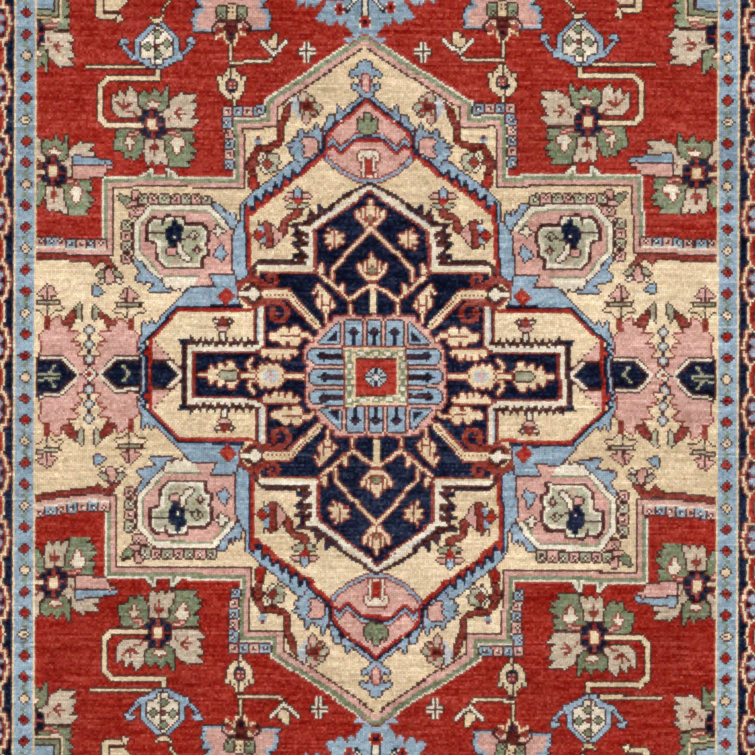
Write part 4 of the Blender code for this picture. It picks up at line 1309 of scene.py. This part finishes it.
def wind(form, around, steps, place, cell, cells):
    """Adds a closed cord: place(share, turn) gives each of its points, and cell is its square on the map."""
    wool_map = form.loops.layers.uv.verify()
    made = bmesh.ops.create_grid(form, x_segments=steps, y_segments=around, size=0.5)["verts"]
    column, line_up = cell % cells, cell // cells
    for face in {face for vertex in made for face in vertex.link_faces}:
        face.smooth = True
        for corner in face.loops:
            corner[wool_map].uv = ((column + 0.02 + 0.96 * (corner.vert.co.x + 0.5)) / cells,
                                   (line_up + 0.02 + 0.96 * (corner.vert.co.y + 0.5)) / cells)
    for vertex in made:
        vertex.co = place(vertex.co.x + 0.5, (vertex.co.y + 0.5) * 2 * math.pi)


def close_up(form):
    """Joins each cord's seam and ends, and turns its faces outwards."""
    bmesh.ops.remove_doubles(form, verts=form.verts, dist=1e-6)
    bmesh.ops.recalc_face_normals(form, faces=form.faces)


SIDES, STEPS_A_WRAP, RUNS, SQUARES = 12, 3, 6, 3
for side in ("west", "east"):
    low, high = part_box("selvedge_" + side)
    middle, radius, length = (low + high) / 2, (high.z - low.z) / 2, high.y - low.y
    cord = bmesh.new()
    cord.loops.layers.uv.new("OFBake")
    for run in range(RUNS):
        def wrapped(share, turn, run=run):
            along_edge = (run + share) / RUNS
            end = 1 if 0.0005 < along_edge < 0.9995 else 0
            ridge = abs(math.sin(math.pi * (along_edge * length / KNOT + turn / 14)))
            thick = radius * (0.93 + 0.07 * ridge) * end
            return (middle.x + thick * math.sin(turn), low.y + along_edge * length,
                    middle.z + thick * math.cos(turn))
        wind(cord, SIDES, round(length / KNOT / RUNS) * STEPS_A_WRAP, wrapped, run, SQUARES)
    close_up(cord)
    finish_piece("overcast_selvedge_" + side, cord, overcast_wool,
                                  "selvedge_" + side)


# --- kilim ends -----------------------------------------------------------------------------------
# Past the last knots the cotton warps are woven on for 20 mm with wool weft beaten down hard, which
# covers them: a flat band, ribbed along the warps, that stops the knots from working loose.
STRIPE_PLACES, STRIPE_HALF = (0.007, 0.0135), 0.0009
WEFT_PITCH = 0.0012

# Weft-faced plain weave in wool: matt, darker between wefts as painted shade, with two thin ivory stripes
# where the weaver changed shuttle.
kilim_weave, tree, out = new_material("weft_faced_kilim")
place = add_node(tree, "ShaderNodeTexCoord").outputs["Object"]
apart = add_node(tree, "ShaderNodeSeparateXYZ", (), {0: place})
from_middle = add_node(tree, "ShaderNodeMath", {"operation": "ABSOLUTE"}, {0: apart.outputs[1]})
two_stripes = [add_node(tree, "ShaderNodeMath",
                        {"operation": "COMPARE", 1: cloth_high.y + stripe, 2: STRIPE_HALF},
                        {0: from_middle.outputs[0]}) for stripe in STRIPE_PLACES]
stripes = add_node(tree, "ShaderNodeMath", {"operation": "MAXIMUM"},
                   {i: stripe.outputs[0] for i, stripe in enumerate(two_stripes)})
wefts = add_node(tree, "ShaderNodeTexWave", {"bands_direction": "Y", "Scale": math.pi / WEFT_PITCH / 10,
                                             "Distortion": 1.5, "Detail": 2}, {"Vector": place})
warps = add_node(tree, "ShaderNodeTexWave", {"bands_direction": "X", "Scale": math.pi / KNOT / 5,
                                             "Distortion": 0.3}, {"Vector": place})
skeins = add_node(tree, "ShaderNodeTexNoise", {"Scale": 120, "Detail": 4}, {"Vector": place})
madder = add_node(tree, "ShaderNodeMixRGB", {"Color1": (*linear("#7c2a22"), 1),
                                             "Color2": (*linear("#9c3b30"), 1)},
                  {"Fac": skeins.outputs["Fac"]})
striped = add_node(tree, "ShaderNodeMixRGB", {"Color2": (*linear("#d8c2a2"), 1)},
                   {"Fac": stripes.outputs[0], "Color1": madder.outputs[0]})
# Painted shade: the colour is scaled from 0.78 in the grooves between wefts to 1.06 on their crests, by the
# same waves that give the bump.
painted_weft_shade = add_node(tree, "ShaderNodeMapRange", {"To Min": 0.78, "To Max": 1.06},
                  {"Value": wefts.outputs["Fac"]})
weft_colour = add_node(tree, "ShaderNodeVectorMath", {"operation": "SCALE"},
                       {0: striped.outputs[0], "Scale": painted_weft_shade.outputs[0]})
weave = add_node(tree, "ShaderNodeMath", {"operation": "MULTIPLY_ADD", 1: 0.6},
                 {0: wefts.outputs["Fac"], 2: warps.outputs["Fac"]})
weave_bump = add_node(tree, "ShaderNodeBump", {"Strength": 0.7, "Distance": 0.0006},
                      {"Height": weave.outputs[0]})
kilim = add_node(tree, "ShaderNodeBsdfPrincipled", {"Roughness": 0.92, "Specular IOR Level": 0.15},
                 {"Base Color": weft_colour.outputs[0], "Normal": weave_bump.outputs[0]})
tree.links.new(kilim.outputs[0], out.inputs["Surface"])

kilims = []
for end in ("north", "south"):
    low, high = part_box("kilim_end_" + end)
    middle = (low + high) / 2
    strip = bmesh.new()
    bmesh.ops.create_grid(strip, x_segments=4 * HALF_WIDE, y_segments=8, size=0.5,
                          matrix=Matrix.Translation((middle.x, middle.y, high.z))
                          @ Matrix.Diagonal((high.x - low.x, high.y - low.y, 1, 1)))
    for vertex in strip.verts:
        x, y, _ = vertex.co
        vertex.co.z -= 0.0005 * abs(math.cos(math.pi * x / KNOT)) + 0.0002 * math.sin(x * 19)
    edges_of_strip = [edge for edge in strip.edges if edge.is_boundary]
    for face in strip.faces:
        face.smooth = True
    for edge in edges_of_strip:
        edge.smooth = False
    for part in bmesh.ops.extrude_edge_only(strip, edges=edges_of_strip)["geom"]:
        if isinstance(part, bmesh.types.BMVert):
            part.co.z = low.z
    bmesh.ops.holes_fill(strip, edges=[edge for edge in strip.edges if edge.is_boundary], sides=0)
    kilims.append(finish_piece("kilim_weave_" + end, strip, kilim_weave, "kilim_end_" + end))
    spots, _, normals = corner_numbers(kilims[-1].data)
    lay_out(kilims[-1].data, spots, normals, 1)


# --- fringes --------------------------------------------------------------------------------------
# The cotton warps run on past the kilim. They are gathered in bunches, each tied in an overhand knot
# close to the weave, and hang loose as a few twisted strands that taper to their tips.
TASSELS, STRANDS = 64, 4
TIE_OUT, TIE_SIZE, TIE_LENGTH = 0.011, 0.0031, 0.0065
STRAND_SIZE, STRAND_PITCH = 0.00135, 0.0021
MAP_SQUARES = 20

# Undyed twisted cotton: off-white, dull, with a slanting twist whose grooves are darkened as painted shade,
# and a little grime here and there.
fringe_cotton, tree, out = new_material("twisted_fringe_cotton")
place = add_node(tree, "ShaderNodeTexCoord").outputs["Object"]
slanted = add_node(tree, "ShaderNodeMapping", {"Rotation": (0, 0, math.radians(35))}, {"Vector": place})
twist_bands = add_node(tree, "ShaderNodeTexWave", {"Scale": math.pi / 0.0022 / 10, "Distortion": 1,
                                                   "Detail": 1}, {"Vector": slanted.outputs[0]})
grime = add_node(tree, "ShaderNodeTexNoise", {"Scale": 90, "Detail": 3}, {"Vector": place})
clean = add_node(tree, "ShaderNodeMixRGB", {"Color1": (*linear("#d6cab2"), 1),
                                            "Color2": (*linear("#f3ebdb"), 1)},
                 {"Fac": grime.outputs["Fac"]})
# Painted shade: the colour is scaled from 0.82 in the twist's grooves to 1.04 on its ridges, by the bands
# that also give the bump.
painted_twist_shade = add_node(tree, "ShaderNodeMapRange", {"To Min": 0.82, "To Max": 1.04},
                       {"Value": twist_bands.outputs["Fac"]})
cotton_colour = add_node(tree, "ShaderNodeVectorMath", {"operation": "SCALE"},
                         {0: clean.outputs[0], "Scale": painted_twist_shade.outputs[0]})
twist_bump = add_node(tree, "ShaderNodeBump", {"Strength": 0.6, "Distance": 0.0005},
                      {"Height": twist_bands.outputs["Fac"]})
cotton = add_node(tree, "ShaderNodeBsdfPrincipled", {"Roughness": 0.88, "Specular IOR Level": 0.2},
                  {"Base Color": cotton_colour.outputs[0], "Normal": twist_bump.outputs[0]})
tree.links.new(cotton.outputs[0], out.inputs["Surface"])

for end in ("north", "south"):
    low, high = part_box("fringe_" + end)
    out_way = 1 if end == "north" else -1
    root_y = low.y if end == "north" else high.y
    reach, pitch = high.y - low.y, (high.x - low.x) / TASSELS
    bunches = bmesh.new()
    bunches.loops.layers.uv.new("OFBake")
    for tassel in range(TASSELS):
        x0, first = low.x + (tassel + 0.5) * pitch, tassel * (STRANDS + 2)
        bend, knot_y = rng.normal(0, 0.0025), TIE_OUT + rng.normal(0, 0.0008)

        def gathered(share, turn, x0=x0, knot_y=knot_y):
            width = pitch * (0.47 - 0.36 * min(1, share * 1.15)) * (1 if share < 0.98 else 0)
            flat = 0.0011 * (1 if 0.01 < share < 0.98 else 0)
            return (x0 + width * math.cos(turn), root_y + out_way * share * knot_y,
                    0.0013 + flat * math.sin(turn))

        def tied(share, turn, x0=x0, knot_y=knot_y):
            size = math.sin(math.pi * share) ** 0.6 if 0 < share < 1 else 0
            lobe = 1 + 0.16 * math.sin(2 * turn + 5 * share)
            return (x0 + TIE_SIZE * size * lobe * math.cos(turn),
                    root_y + out_way * (knot_y - 0.003 + TIE_LENGTH * share),
                    0.0027 + 0.0026 * size * lobe * math.sin(turn))

        wind(bunches, 8, 5, gathered, first, MAP_SQUARES)
        wind(bunches, 8, 5, tied, first + 1, MAP_SQUARES)
        for strand in range(STRANDS):
            spread = (strand - (STRANDS - 1) / 2) * STRAND_PITCH + rng.normal(0, 0.0004)
            length = reach - knot_y - 0.003 - abs(rng.normal(0, 0.003))
            wave, phase = rng.normal(0, 0.0009), rng.uniform(0, 6)

            def hanging(share, turn, x0=x0, knot_y=knot_y, bend=bend, spread=spread, length=length, wave=wave,
                        phase=phase):
                size = STRAND_SIZE * (1 - 0.35 * share) if 0 < share < 1 else 0
                x = (x0 + spread * (0.35 + 1.1 * share) + bend * share ** 2
                     + wave * math.sin(7 * share + phase))
                return (x + size * math.cos(turn), root_y + out_way * (knot_y + 0.001 + length * share),
                        0.0014 + size * math.sin(turn) * 0.95)

            wind(bunches, 5, 8, hanging, first + 2 + strand, MAP_SQUARES)
    close_up(bunches)
    finish_piece("knotted_fringe_" + end, bunches, fringe_cotton,
                                "fringe_" + end)
